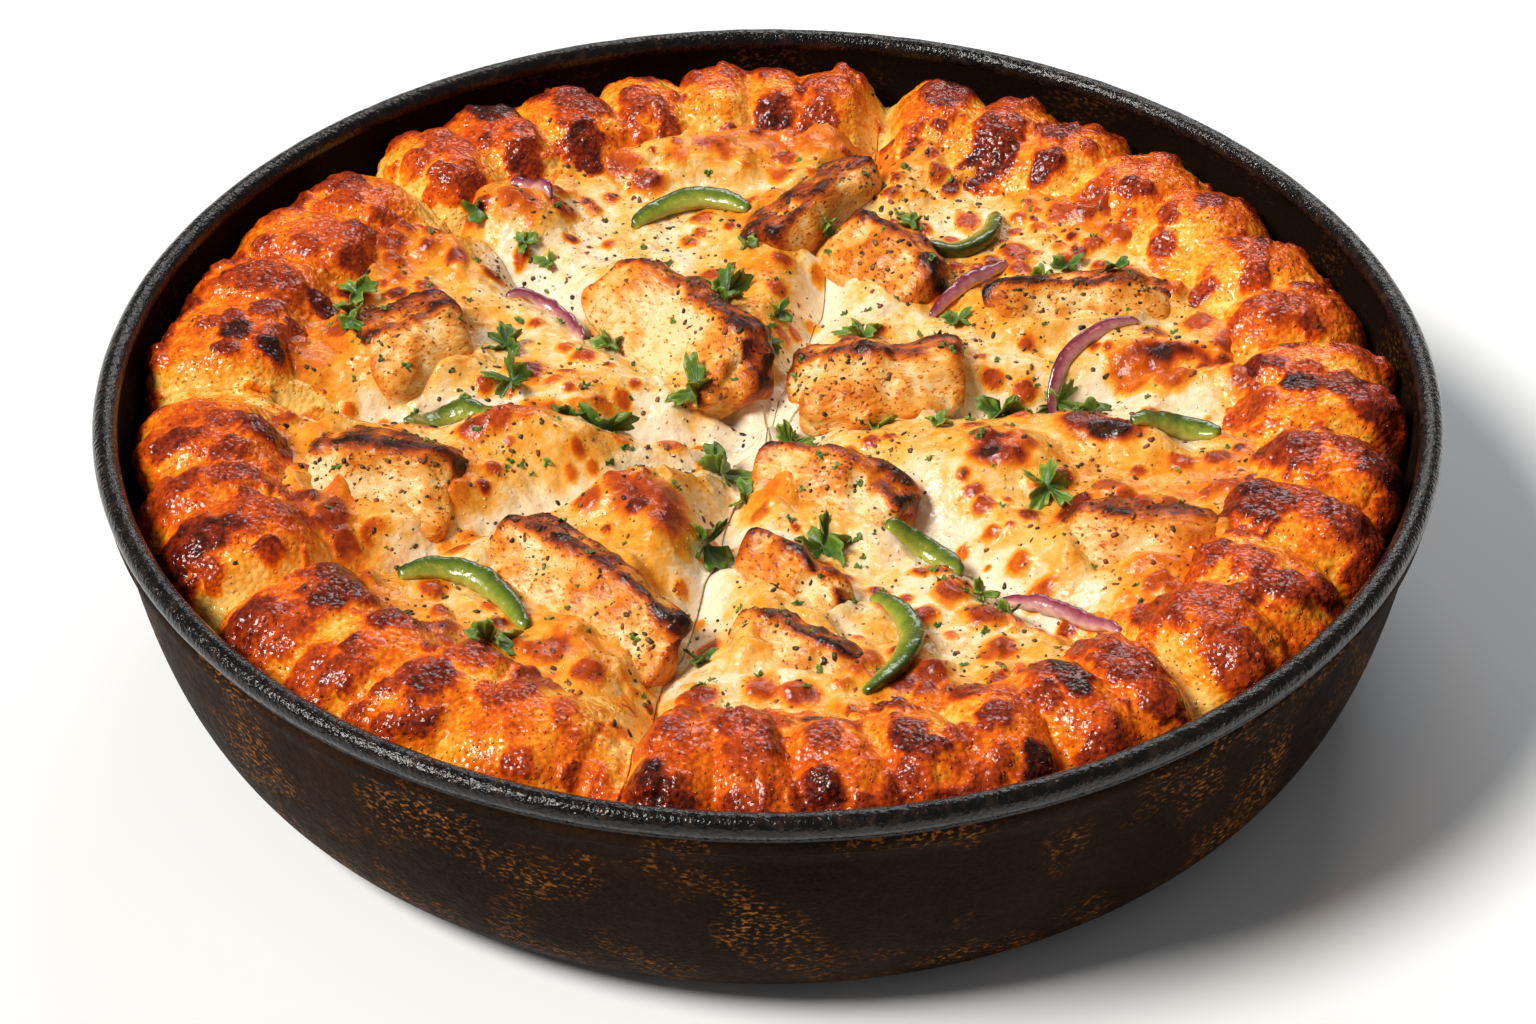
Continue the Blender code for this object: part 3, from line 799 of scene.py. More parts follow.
@dataclass
class PizzaForm:
    """The pizza's relief: where the cuts, folds, blisters and covered chicken lie.

    Attributes:
        cuts: the angle of each cut.
        notches: how wide and how deep each cut opens in the crust.
        lifts: how far the knife lifted the slice after each cut.
        cheese_section: radius and height of the cheese's plain top.
        rim_section: radius and height of the crust's plain surface, without its folds.
        ridge_point: which row of rim_section is the ridge, and ridge_radius its radius.
        valley_depth: how deep the cheese dips at a cut, and valley_width how far from it.
        shoulder_rise: how far the cheese swells beside a cut, shoulder_place millimetres from it.
        cling_rise: how far the cheese climbs round the chicken.
        fold_angles: the middle of each fold of the crust, and fold_height its height.
        lumps: chicken that the cheese covers.
        chunks: chicken that shows.
        seen_blisters: place, radius and bake of the blisters that stand out on the cheese.
        blister_count: how many blisters the cheese has in all, out to blister_reach.
        seed: which folds and small blisters to draw.
    """

    cuts: tuple[float, ...] = (-148.0, -103.0, -49.0, 8.0, 77.0, 135.0, 178.0)
    notches: tuple[tuple[float, float], ...] = (
        (3.2, 6.0), (3.0, 6.0), (2.6, 5.0), (2.2, 3.0), (3.8, 8.0), (2.6, 4.0), (2.2, 3.0),
    )
    lifts: tuple[float, ...] = (1.2, 0.6, 0.9, 0.0, 0.3, 0.5, 0.2)
    cheese_section: tuple[tuple[float, float], ...] = (
        (0.0, 44.6), (30.0, 45.6), (60.0, 46.8), (80.0, 47.6), (88.0, 48.8), (94.0, 50.2), (101.0, 50.8),
    )
    rim_section: tuple[tuple[float, float], ...] = (
        (82.0, 44.0), (90.0, 48.0), (96.0, 51.0), (101.0, 52.3), (107.5, 52.5), (114.0, 51.0),
        (118.2, 46.9), (120.2, 41.0), (120.6, 32.0), (118.0, 20.0), (111.6, 8.4), (101.0, 3.2),
    )
    ridge_point: int = 4
    ridge_radius: float = 108.0
    valley_depth: float = 6.2
    valley_width: float = 5.0
    shoulder_rise: float = 1.4
    shoulder_place: float = 10.5
    shoulder_width: float = 4.5
    cling_rise: float = 2.3
    blister_count: int = 250
    blister_reach: float = 95.0
    fold_angles: tuple[float, ...] = (
        -172, -163, -155, -141, -132, -123, -113, -99, -92, -84, -76, -68, -60, -53, -42, -33, -23, -13,
        -3, 4, 14, 24, 34, 44, 54, 62, 70, 82, 89, 96, 104, 113, 122, 130, 142, 151, 161, 171,
    )
    fold_height: float = 4.9
    lumps: tuple[Lump, ...] = (
        Lump(-53, 64, 13, 9, 60, 6.0, 0.30),
        Lump(-14, 88, 12, 8, 5, 4.0, 0.55),
        Lump(-46, -2, 15, 10, 20, 7.0, 0.55),
        Lump(-22, -37, 20, 11, -50, 8.0, 0.36),
        Lump(44, -18, 14, 10, -10, 6.5, 0.62),
        Lump(66, -11, 13, 7, -20, 5.0, 0.68),
        Lump(80, 13, 16, 9, -15, 7.0, 0.58),
        Lump(-71, 25, 8, 8, 0, 3.0, 0.25),
    )
    chunks: tuple[Chunk, ...] = (
        Chunk("chicken_01", 51, 34, 16, 8.5, -0.30),
        Chunk("chicken_02", -54, 46, 22, 10.5, 0.35),
        Chunk("chicken_03", -49, 28, 17, 9.0, 0.35),
        Chunk("chicken_04", 6, 38, 19, 10.2, 0.10),
        Chunk("chicken_05", 5, 34, 21, 9.5, 0.30),
        Chunk("chicken_06", 31, 22, 22, 8.0, 0.20),
        Chunk("chicken_07", -18, 32, 23, 9.5, 0.25),
        Chunk("chicken_08", -47, 46, 21, 9.8, 0.40),
        Chunk("chicken_09", -33, 31, 19, 10.0, 0.35),
        Chunk("chicken_10", -44, 24, 13, 9.0, 0.30),
        Chunk("chicken_11", -29, 26, 14, 7.0, 0.25),
        Chunk("chicken_12", -8, 30, 20, 8.5, 0.20),
    )
    seen_blisters: tuple[tuple[float, float, float, float], ...] = (
        (-24, -41, 2.8, 0.80), (-40, -77, 4.6, 0.62), (34, -56, 3.4, 0.66), (40, -63, 3.8, 0.66),
        (42, -73, 3.2, 0.62), (29, -82, 4.2, 0.68), (24, -84, 3.4, 0.74), (61, -7, 5.6, 0.72),
        (58, -35, 3.6, 0.80), (67, -37, 5.0, 0.66), (65, -29, 4.2, 0.62), (73, 12, 5.4, 0.68),
        (79, 8, 4.4, 0.62), (86, -18, 3.2, 0.66), (79, -19, 2.6, 0.58), (87, -29, 3.6, 0.60),
        (-57, -10, 4.0, 0.66), (-52, -9, 3.4, 0.60), (-48, 13, 4.2, 0.70), (-19, -3, 3.0, 0.58),
        (-28, -2, 2.2, 0.54), (3, 51, 2.6, 0.62), (2, 42, 2.6, 0.60), (-14, 69, 2.6, 0.56),
        (51, 55, 3.2, 0.64), (52, 49, 2.6, 0.58), (41, -15, 2.6, 0.58), (-12, -87, 3.6, 0.66),
        (-1, -85, 3.8, 0.64), (6, -87, 3.6, 0.66), (49, -84, 4.4, 0.64), (18, -78, 3.2, 0.58),
        (-39, -47, 2.8, 0.64), (-34, -35, 3.2, 0.60), (-56, -35, 3.0, 0.60), (-78, 54, 4.6, 0.64),
        (-43, 68, 3.4, 0.60), (-31, 86, 4.4, 0.62), (61, 67, 3.4, 0.60), (71, 68, 3.8, 0.62),
        (73, 59, 3.0, 0.58), (86, 27, 3.6, 0.62), (92, 20, 4.0, 0.66), (93, 5, 4.2, 0.66),
        (72, -59, 4.0, 0.60), (32, -47, 2.4, 0.58), (36, -52, 2.6, 0.60), (-82, -38, 4.2, 0.64),
        (-68, -47, 3.0, 0.62), (-62, -57, 3.0, 0.62), (-32, -84, 3.8, 0.64), (-46, -87, 4.2, 0.64),
        (-53, -82, 3.8, 0.66), (-59, -76, 3.6, 0.64), (-84, 37, 4.0, 0.70), (-85, 22, 3.6, 0.62),
    )
    seed: int = 11
    folds: list[Fold] = field(default_factory=list)
    crust_blisters: list[Blister] = field(default_factory=list)
    cheese_blisters: list[Blister] = field(default_factory=list)

    def __post_init__(self) -> None:
        """Draws the folds and blisters."""
        rng = np.random.default_rng(self.seed)
        self.folds = self._draw_folds(rng)
        self.crust_blisters = self._draw_crust_blisters(rng)
        self.cheese_blisters = self._draw_cheese_blisters(rng)

    def _draw_folds(self, rng: np.random.Generator) -> list[Fold]:
        """Draws the folds at their angles, each a little different from the next.

        Args:
            rng: the random numbers.

        Returns:
            The folds.
        """
        centres = np.radians(sorted(self.fold_angles))
        gaps = np.diff(np.append(centres, centres[0] + math.tau))
        widths = 0.27 * (gaps + np.roll(gaps, 1))
        return [
            Fold(
                middle=float(centre),
                half_width=float(width * rng.uniform(0.95, 1.12)),
                height=self.fold_height * rng.uniform(0.80, 1.0),
                inner=rng.uniform(12.0, 19.0),
                outer=rng.uniform(23.0, 27.0),
                skew=rng.uniform(-0.06, 0.06),
            )
            for centre, width in zip(centres, widths)
        ]

    def _draw_crust_blisters(self, rng: np.random.Generator) -> list[Blister]:
        """Draws blisters in the crust's own coordinates: angle in radians, and distance from the ridge.

        Args:
            rng: the random numbers.

        Returns:
            The blisters.
        """
        drawn = []
        for fold in self.folds:
            count = rng.integers(2, 5)
            starts = np.linspace(-11.0, 11.0, count) + rng.uniform(-3.0, 3.0, count)
            for start in starts:
                drawn.append(
                    Blister(
                        x=fold.middle + fold.half_width * rng.uniform(-0.35, 0.35),
                        y=float(start),
                        radius=rng.uniform(3.2, 6.6),
                        stretch=rng.uniform(0.9, 1.7),
                        height=rng.uniform(0.5, 1.2),
                        bake=rng.choice([0.62, 0.70, 0.78, 0.86, 0.98], p=[0.22, 0.28, 0.26, 0.16, 0.08]),
                    )
                )
        return drawn

    def _draw_cheese_blisters(self, rng: np.random.Generator) -> list[Blister]:
        """Draws blisters on the cheese, more of them and darker towards the crust.

        Args:
            rng: the random numbers.

        Returns:
            The blisters.
        """
        drawn = [
            Blister(x, y, radius, rng.uniform(0.85, 1.25), 0.30 * radius + 0.3, bake)
            for x, y, radius, bake in self.seen_blisters
        ]
        while len(drawn) < self.blister_count:
            near_crust = math.sqrt(rng.uniform(0.02, 1.0))
            radius, angle = self.blister_reach * near_crust, rng.uniform(0.0, math.tau)
            x, y = radius * math.cos(angle), radius * math.sin(angle)
            size = rng.uniform(0.7, 2.0) + 2.4 * rng.uniform(0.0, 1.0) ** 3 * near_crust
            if min(chunk.reach(np.float64(x), np.float64(y)) for chunk in self.chunks) < 1.15:
                continue
            if any(math.hypot(x - old.x, y - old.y) < 0.8 * (size + old.radius) for old in drawn):
                continue
            bake = rng.uniform(0.46, 0.64) + 0.24 * near_crust * rng.uniform(0.2, 1.0)
            drawn.append(Blister(x, y, size, rng.uniform(0.85, 1.3), 0.32 * size + 0.2, bake))
        return drawn

    def cut_line(self, number: int, radius: np.ndarray) -> np.ndarray:
        """The angle of a cut at each radius, with the knife's slight waver.

        Args:
            number: which cut.
            radius: distances from the middle.

        Returns:
            Angles in radians.
        """
        waver = 0.7 * np.sin(radius / 9.0 + number * 1.7) + 0.35 * np.sin(radius / 3.9 + number * 2.9)
        waver = waver * smooth_step(radius / 25.0)
        return math.radians(self.cuts[number]) + waver / np.maximum(radius, 4.0)

    def off_cut(self, number: int, angle: np.ndarray, radius: np.ndarray) -> np.ndarray:
        """How far a place lies from a cut."""
        turn = turn_between(angle, self.cut_line(number, radius))
        return np.where(np.abs(turn) < math.pi / 2, radius * np.abs(np.sin(turn)), 1000.0)

    def slice_lift(self, angle: np.ndarray) -> np.ndarray:
        """How far the slice at each angle was lifted.

        Args:
            angle: angles in radians.

        Returns:
            The lifts.
        """
        cuts = np.radians(self.cuts)
        order = np.searchsorted(cuts, (angle - cuts[0]) % math.tau + cuts[0], side="right") - 1
        return np.array(self.lifts)[order]

    def cheese_surface(self, x: np.ndarray, y: np.ndarray, lift: float | None = None) -> tuple:
        """The cheese's top.

        Args:
            x, y: places.
            lift: the slice's lift, or none to look it up.

        Returns:
            Its height, and how far it is baked at each place, with a little painted shade round the foot
            of each chunk.
        """
        radius, angle = np.hypot(x, y), np.arctan2(y, x)
        radii, heights = np.array(self.cheese_section).T
        here = space(x, y)
        swell = Noise(24.0, 3, 3).at(here)
        level = np.interp(radius, radii, heights) + 0.75 * swell + 0.42 * Noise(5.0, 7, 3).at(here)
        level += self.slice_lift(angle) if lift is None else lift
        warp = 1.0 + 0.14 * Noise(4.5, 21, 3).at(here)
        edging = smooth_step((radius - 80.0) / 12.0)
        bake = 0.17 + 0.10 * swell + 0.18 * edging
        dome, own = Bubbles(5.6, 23).at(here + 0.9 * Noise(4.0, 25, 2).at(here)[..., None])
        browned = smooth_step((radius - 66.0) / 26.0)
        ripe = smooth_step((dome - 0.25) / 0.55) * smooth_step((own - 0.85 + 0.55 * browned) / 0.3)
        level += 1.3 * ripe * browned
        bake = np.maximum(bake, (0.38 + 0.40 * own) * ripe * browned)
        sag = 1.0 + 0.13 * Noise(13.0, 29, 2).at(here)
        for lump in self.lumps:
            reach = lump.reach(x, y) * sag
            mound = np.exp(-(reach**2.6))
            crest = smooth_step((mound - 0.55) / 0.45)
            level += lump.rise * mound * (1.0 + 0.12 * Noise(8.0, 31, 2).at(here))
            bake = np.maximum(bake, lump.bake * crest * (1.0 + 0.6 * Noise(6.0, 33, 2).at(here)) + 0.12)
        cling = 1.0 + 0.75 * Noise(9.0, 41, 2).at(here)
        for chunk in self.chunks:
            away = np.maximum(chunk.reach(x, y) - 1.0, 0.0) * chunk.width / 2
            level += self.cling_rise * np.clip(cling, 0.2, 2.0) * np.exp(-away / 2.8)
            # painted shade: the cheese is darkened a little in a narrow ring at the foot of each chunk
            bake += 0.06 * np.exp(-away / 2.0)
        for blister in self.cheese_blisters:
            off = np.hypot(x - blister.x, (y - blister.y) * blister.stretch) / blister.radius * warp
            level += blister.height * np.exp(-(off**3.0))
            bake = np.maximum(bake, 0.40 * smooth_step((1.60 - off) / 0.70))
            bake = np.maximum(bake, (blister.bake + 0.06) * smooth_step((1.15 - off) / 0.50))
        for number in range(len(self.cuts)):
            off = self.off_cut(number, angle, radius)
            shoulder = np.exp(-(((off - self.shoulder_place) / self.shoulder_width) ** 2))
            level += self.shoulder_rise * shoulder * smooth_step(radius / 30.0 - 0.2)
            valley = np.exp(-((off / self.valley_width) ** 1.5))
            level -= self.valley_depth * valley * smooth_step(radius / 14.0 + 0.12)
            bake -= 0.24 * np.exp(-((off / 4.8) ** 2)) * smooth_step((88.0 - radius) / 14.0)
        return level, bake

    def fold_relief(self, angle: np.ndarray, from_ridge: np.ndarray) -> tuple[np.ndarray, np.ndarray]:
        """The crust's folds.

        Args:
            angle: angles in radians.
            from_ridge: distances from the ridge along the section, negative towards the middle.

        Returns:
            How far the surface stands out, and how near it is to a fold's crown, from 0 to 1.
        """
        highest, crown = np.zeros_like(angle), np.zeros_like(angle)
        for fold in self.folds:
            middle = fold.middle + fold.skew * from_ridge / 20.0
            across = np.clip(turn_between(angle, middle) / fold.half_width, -1.0, 1.0)
            along = smooth_step((from_ridge + fold.inner) / 11.0)
            along = along * smooth_step((fold.outer - from_ridge) / 12.0)
            body = (1.0 - across**2) ** 0.62 * along
            highest = np.maximum(highest, fold.height * body)
            crown = np.maximum(crown, body)
        return highest, crown

    def crust_surface(self, angle: np.ndarray, from_ridge: np.ndarray, here: np.ndarray) -> tuple:
        """The crust's relief along its section's normal.

        Args:
            angle: angles in radians.
            from_ridge: distances from the ridge along the section.
            here: the plain section's points, for the noise.

        Returns:
            How far the surface stands out and how far it is baked.
        """
        out, crown = self.fold_relief(angle, from_ridge)
        warp = 1.0 + 0.24 * Noise(4.2, 51, 3).at(here)
        visible = smooth_step((32.0 - from_ridge) / 10.0)
        bake = 0.20 + 0.20 * crown + 0.13 * Noise(11.0, 55, 3).at(here)
        bake -= 0.12 * smooth_step((from_ridge - 14.0) / 10.0)
        wobble = 1.1 * Noise(5.0, 53, 3).at(here)[..., None]
        dome, own = Bubbles(6.4, 57).at(here + wobble)
        ripe = smooth_step((dome * (0.75 + 0.5 * own) - 0.18) / 0.45)
        share = smooth_step((own - 0.22) / 0.3) * (0.45 + 0.55 * crown) * visible
        out += 1.15 * ripe * share
        bake = np.maximum(bake, (0.40 + 0.42 * own) * smooth_step(1.25 * ripe * share))
        for blister in self.crust_blisters:
            arc = turn_between(angle, blister.x) * self.ridge_radius
            off = np.hypot(arc, (from_ridge - blister.y) / blister.stretch) / blister.radius * warp
            cap = smooth_step((1.15 - off) / 0.50)
            out += 0.9 * blister.height * cap
            bake = np.maximum(bake, blister.bake * cap)
        beads, _ = Bubbles(2.4, 65).at(here + 0.5 * wobble)
        out += visible * (0.28 * beads + 0.16 * Noise(3.0, 61, 3).at(here))
        return out, bake


@dataclass
class SliceMaker:
    """Makes one slice's dough and cheese as fine surfaces with walls at the cuts.

    Attributes:
        form: the pizza's relief.
        number: which slice, from 0.
        half_gap: half the gap that the knife left.
        column_pitch: how far apart the columns of points lie at the rim.
        wall_drops: how far down the walls' points lie.
        soft_top: the height above which the dough's top is held back, by soft_span at most.
        pan_gap: how far the dough stays off the pan's wall.
        dough_foot: the lowest height of the dough, on the pan's floor.
    """

    form: PizzaForm
    number: int
    half_gap: float = 0.05
    column_pitch: float = 0.62
    wall_drops: tuple[float, ...] = (0.5, 1.6, 4.0, 8.0)
    soft_top: float = LID - 3.0
    soft_span: float = 2.8
    pan_gap: float = 0.35
    dough_foot: float = 2.8

    @property
    def lift(self) -> float:
        """How far this slice was lifted."""
        return self.form.lifts[self.number]

    def _angles(self, radius: np.ndarray, columns: int) -> np.ndarray:
        """Angles across the slice for each radius, closer together at the cuts.

        Args:
            radius: one distance for each row.
            columns: how many columns.

        Returns:
            Rows of angles in radians.
        """
        after = (self.number + 1) % len(self.form.cuts)
        inset = np.arcsin(np.minimum(self.half_gap / radius, 0.5))
        first = self.form.cut_line(self.number, radius) + inset
        last = self.form.cut_line(after, radius) - inset
        last = np.where(last < first, last + math.tau, last)
        even = np.linspace(0.0, 1.0, columns)
        share = 0.6 * even + 0.4 * (0.5 - 0.5 * np.cos(math.pi * even))
        return first[:, None] + (last - first)[:, None] * share[None, :]

    def _columns(self, radius: float) -> int:
        """How many columns keep the pitch at a radius.

        Args:
            radius: the distance from the middle.

        Returns:
            The number of columns.
        """
        after = (self.number + 1) % len(self.form.cuts)
        width = (math.radians(self.form.cuts[after] - self.form.cuts[self.number])) % math.tau
        return int(width * radius / self.column_pitch)

    def _with_walls(self, points: np.ndarray, down: np.ndarray) -> np.ndarray:
        """Adds columns that go down both sides of the slice.

        Args:
            points: the grid's points.
            down: the direction of the walls at each row, as a vector.

        Returns:
            The wider grid.
        """
        left = [points[:, 0] + down * drop for drop in reversed(self.wall_drops)]
        right = [points[:, -1] + down * drop for drop in self.wall_drops]
        return np.concatenate([np.stack(left, axis=1), points, np.stack(right, axis=1)], axis=1)

    def _widened(self, values: np.ndarray) -> np.ndarray:
        """Repeats the outermost columns of the values for the walls."""
        return np.pad(values, ((0, 0), (len(self.wall_drops), len(self.wall_drops))), mode="edge")

    def cheese(self, material: bpy.types.Material) -> bpy.types.Object:
        """Makes the cheese of this slice.

        Args:
            material: its finish.

        Returns:
            The piece.
        """
        radii = np.concatenate([np.linspace(0.5, 8.0, 9), np.arange(8.8, 100.5, 0.72)])
        angles = self._angles(radii, self._columns(92.0))
        x, y = radii[:, None] * np.cos(angles), radii[:, None] * np.sin(angles)
        level, bake = self.form.cheese_surface(x, y, self.lift)
        points = self._with_walls(space(x, y, level), np.array([0.0, 0.0, -1.0]))
        rows, columns = points.shape[:2]
        name = f"slice_{self.number + 1}_cheese"
        piece = mesh_piece(
            name, points.reshape(-1, 3), grid_faces(rows, columns), material,
            {"bake": self._widened(bake)},
        )
        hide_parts(f"cheese_{self.number + 1}")
        return piece

    def dough(self, material: bpy.types.Material) -> bpy.types.Object:
        """Makes the dough of this slice, from under the cheese over the rim to the pan's floor.

        Args:
            material: its finish.

        Returns:
            The piece.
        """
        place, outward, run = rim_curve(self.form)
        radius = place[:, 0]
        angles = self._angles(radius, self._columns(112.0))
        from_ridge = np.broadcast_to(run[:, None], angles.shape)
        plain = space(radius[:, None] * np.cos(angles), radius[:, None] * np.sin(angles), place[:, 1:2])
        out, bake = self.form.crust_surface(angles, from_ridge, plain)
        for number, (width, depth) in enumerate(self.form.notches):
            off = self.form.off_cut(number, angles, radius[:, None])
            fall = np.exp(-((off / width) ** 1.6))
            out -= depth * fall * smooth_step((20.0 - from_ridge) / 18.0)
            bake -= 0.30 * np.exp(-((off / (1.3 * width)) ** 2))
        lift = self.lift * smooth_step((place[:, 1:2] - 5.0) / 30.0)
        height = np.maximum(place[:, 1:2] + outward[:, 1:2] * out + lift, self.dough_foot)
        over = np.maximum(height - self.soft_top, 0.0) / self.soft_span
        height = np.minimum(height, self.soft_top) + self.soft_span * (1.0 - np.exp(-over))
        limit = Pan().inner_radius(height) - self.pan_gap
        reach = np.minimum(radius[:, None] + outward[:, 0:1] * out, limit)
        points = space(reach * np.cos(angles), reach * np.sin(angles), height)
        middle = float(angles[0].mean())
        side = np.stack([
            -outward[:, 0] * math.cos(middle), -outward[:, 0] * math.sin(middle), -outward[:, 1],
        ], axis=1)
        points = self._with_walls(points, side)
        rows, columns = points.shape[:2]
        name = f"slice_{self.number + 1}_crust"
        piece = mesh_piece(
            name, points.reshape(-1, 3), grid_faces(rows, columns), material,
            {"bake": self._widened(bake)},
        )
        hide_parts(f"crust_{self.number + 1}")
        return piece


def rim_curve(form: PizzaForm, step: float = 0.25, shown_to: float = 27.0) -> tuple[np.ndarray, ...]:
    """The crust's section as a smooth curve, fine where it shows and coarse inside the pan.

    Args:
        form: the pizza's relief.
        step: how far apart the curve's points lie before some are left out.
        shown_to: how far past the ridge the crust shows.

    Returns:
        Radius and height, the outward direction, and the distance from the ridge, row by row.
    """
    marks = np.array(form.rim_section)
    steps = np.hypot(*np.diff(marks, axis=0).T)
    along = np.concatenate([[0.0], np.cumsum(steps)])
    along -= along[form.ridge_point]
    dense = np.arange(along[0], along[-1], step)
    curve = np.stack([np.interp(dense, along, marks[:, axis]) for axis in (0, 1)], axis=1)
    window = np.hanning(33)
    window /= window.sum()
    padded = np.pad(curve, ((16, 16), (0, 0)), mode="reflect", reflect_type="odd")
    curve = np.stack([np.convolve(padded[:, axis], window, mode="valid") for axis in (0, 1)], axis=1)
    keep = np.arange(len(dense)) % np.where(dense < shown_to, 2, 14) == 0
    run = np.gradient(curve, axis=0)
    run /= np.hypot(run[:, 0], run[:, 1])[:, None]
    outward = np.stack([-run[:, 1], run[:, 0]], axis=1)
    return curve[keep], outward[keep], dense[keep]


@dataclass
class ChickenMaker:
    """Makes a chunk of chicken: a rounded block with an off-centre ridge and browned skin."""

    form: PizzaForm
    chunk: Chunk
    seed: int
    density: int = 34
    squareness: float = 4.6
    face_slope: float = 0.74
    skin_slope: float = 0.46
    end_slope: float = 0.12
    sunk: float = 6.0

    def _block(self) -> tuple[np.ndarray, np.ndarray]:
        """The faces of a cube as grids pushed out to a rounded block.

        Returns:
            Points between -1 and 1, and faces.
        """
        even = np.tan(np.linspace(-math.pi / 4, math.pi / 4, self.density))
        first, second = np.meshgrid(even, even, indexing="ij")
        ones = np.ones_like(first)
        points, faces = [], []
        for axis, sign in itertools.product(range(3), (-1.0, 1.0)):
            parts = [first, second] if sign > 0 else [second, first]
            parts.insert(axis, ones * sign)
            if axis == 1:
                parts.reverse()
            points.append(np.stack(parts, axis=-1).reshape(-1, 3))
            faces.append(grid_faces(self.density, self.density) + len(faces) * self.density**2)
        cube = np.concatenate(points)
        size = (np.abs(cube) ** self.squareness).sum(axis=1) ** (1.0 / self.squareness)
        return cube / size[:, None], np.concatenate(faces)

    def build(self, material: bpy.types.Material) -> bpy.types.Object:
        """Makes the chunk.

        Args:
            material: its finish.

        Returns:
            The piece.
        """
        chunk = self.chunk
        unit, faces = self._block()
        local = unit * (chunk.length / 2, chunk.width / 2, chunk.height)
        shift = np.array([self.seed * 57.3, 0.0, 0.0])
        lumpy = Noise(9.0, 71, 2).at(local + shift)
        ragged = Noise(3.2, 75, 3).at(local + shift)
        unit = unit * (1.0 + 0.08 * lumpy)[:, None]
        along, across, up = unit.T
        past_ridge = across - chunk.ridge + 0.14 - 0.14 * np.sin(along * 2.2 + self.seed)
        slope = np.where(past_ridge > 0.0, self.skin_slope, self.face_slope)
        roof = 1.0 - slope * np.sqrt(past_ridge**2 + 0.006) - self.end_slope * along**2 + 0.07 * lumpy
        share = (np.clip(up, -1.0, 1.0) + 1.0) / 2.0
        flat = turned(along * chunk.length / 2, across * chunk.width / 2, -chunk.turn)
        x, y = chunk.centre[0] + flat[0], chunk.centre[1] + flat[1]
        seat = np.interp(np.hypot(x, y), *np.array(self.form.cheese_section).T) - self.sunk
        crest = chunk.top - (1.0 - roof) * chunk.height - 0.3
        z = np.minimum(seat * (1.0 - share) + crest * share + 0.45 * ragged * share, LID)
        skin = smooth_step((past_ridge + 0.20) / 0.26) * smooth_step((share - 0.30) / 0.3)
        rim = np.exp(-(((past_ridge + 0.10 * ragged) / 0.15) ** 2)) * smooth_step((share - 0.6) / 0.3)
        ends = smooth_step((np.abs(along) - 0.80) / 0.2)
        scorch = smooth_step(Noise(6.0, 77, 3).at(local + shift) * 1.8)
        bake = 0.04 + 0.10 * share + 0.38 * skin + 0.14 * rim + 0.12 * ends + 0.22 * ragged * (0.3 + skin)
        bake += 0.12 * lumpy + scorch * (0.24 * rim + 0.06 * skin)
        piece = mesh_piece(
            f"roast_{chunk.node}", space(x, y, z), faces, material,
            {"bake": bake, "meat": (local + shift) * MM},
        )
        weld(piece)
        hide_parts(chunk.node)
        return piece


def weld(piece: bpy.types.Object) -> None:
    """Joins a piece's points that lie on each other.

    Args:
        piece: the piece.
    """
    shape = bmesh.new()
    shape.from_mesh(piece.data)
    bmesh.ops.remove_doubles(shape, verts=shape.verts, dist=0.01 * MM)
    bmesh.ops.recalc_face_normals(shape, faces=shape.faces)
    shape.to_mesh(piece.data)
    shape.free()


class Ground:
    """What lies under a loose piece: the made surfaces, searched from a height above them."""

    above: float = 200.0

    def __init__(self) -> None:
        """Starts with nothing."""
        self.trees: list[tuple[Slot, BVHTree]] = []

    def add(self, piece: bpy.types.Object, slot: Slot) -> None:
        """Adds a piece to what is searched.

        Args:
            piece: the piece.
            slot: what it is made of.
        """
        points = np.empty(len(piece.data.vertices) * 3)
        piece.data.vertices.foreach_get("co", points)
        faces = [tuple(face.vertices) for face in piece.data.polygons]
        self.trees.append((slot, BVHTree.FromPolygons(points.reshape(-1, 3).tolist(), faces)))

    def find(self, x: float, y: float) -> tuple[Vector, Vector, Slot] | None:
        """The topmost surface at a place.

        Args:
            x, y: the place.

        Returns:
            The point in millimetres, the surface's normal and what it is, or none.
        """
        best = None
        start = Vector((x * MM, y * MM, self.above * MM))
        down = Vector((0.0, 0.0, -1.0))
        for slot, tree in self.trees:
            spot, normal, _, _ = tree.ray_cast(start, down)
            if spot is not None and (best is None or spot.z > best[0].z):
                best = (spot, normal if normal.z > 0 else -normal, slot)
        if best is None:
            return None
        return best[0] / MM, best[1], best[2]


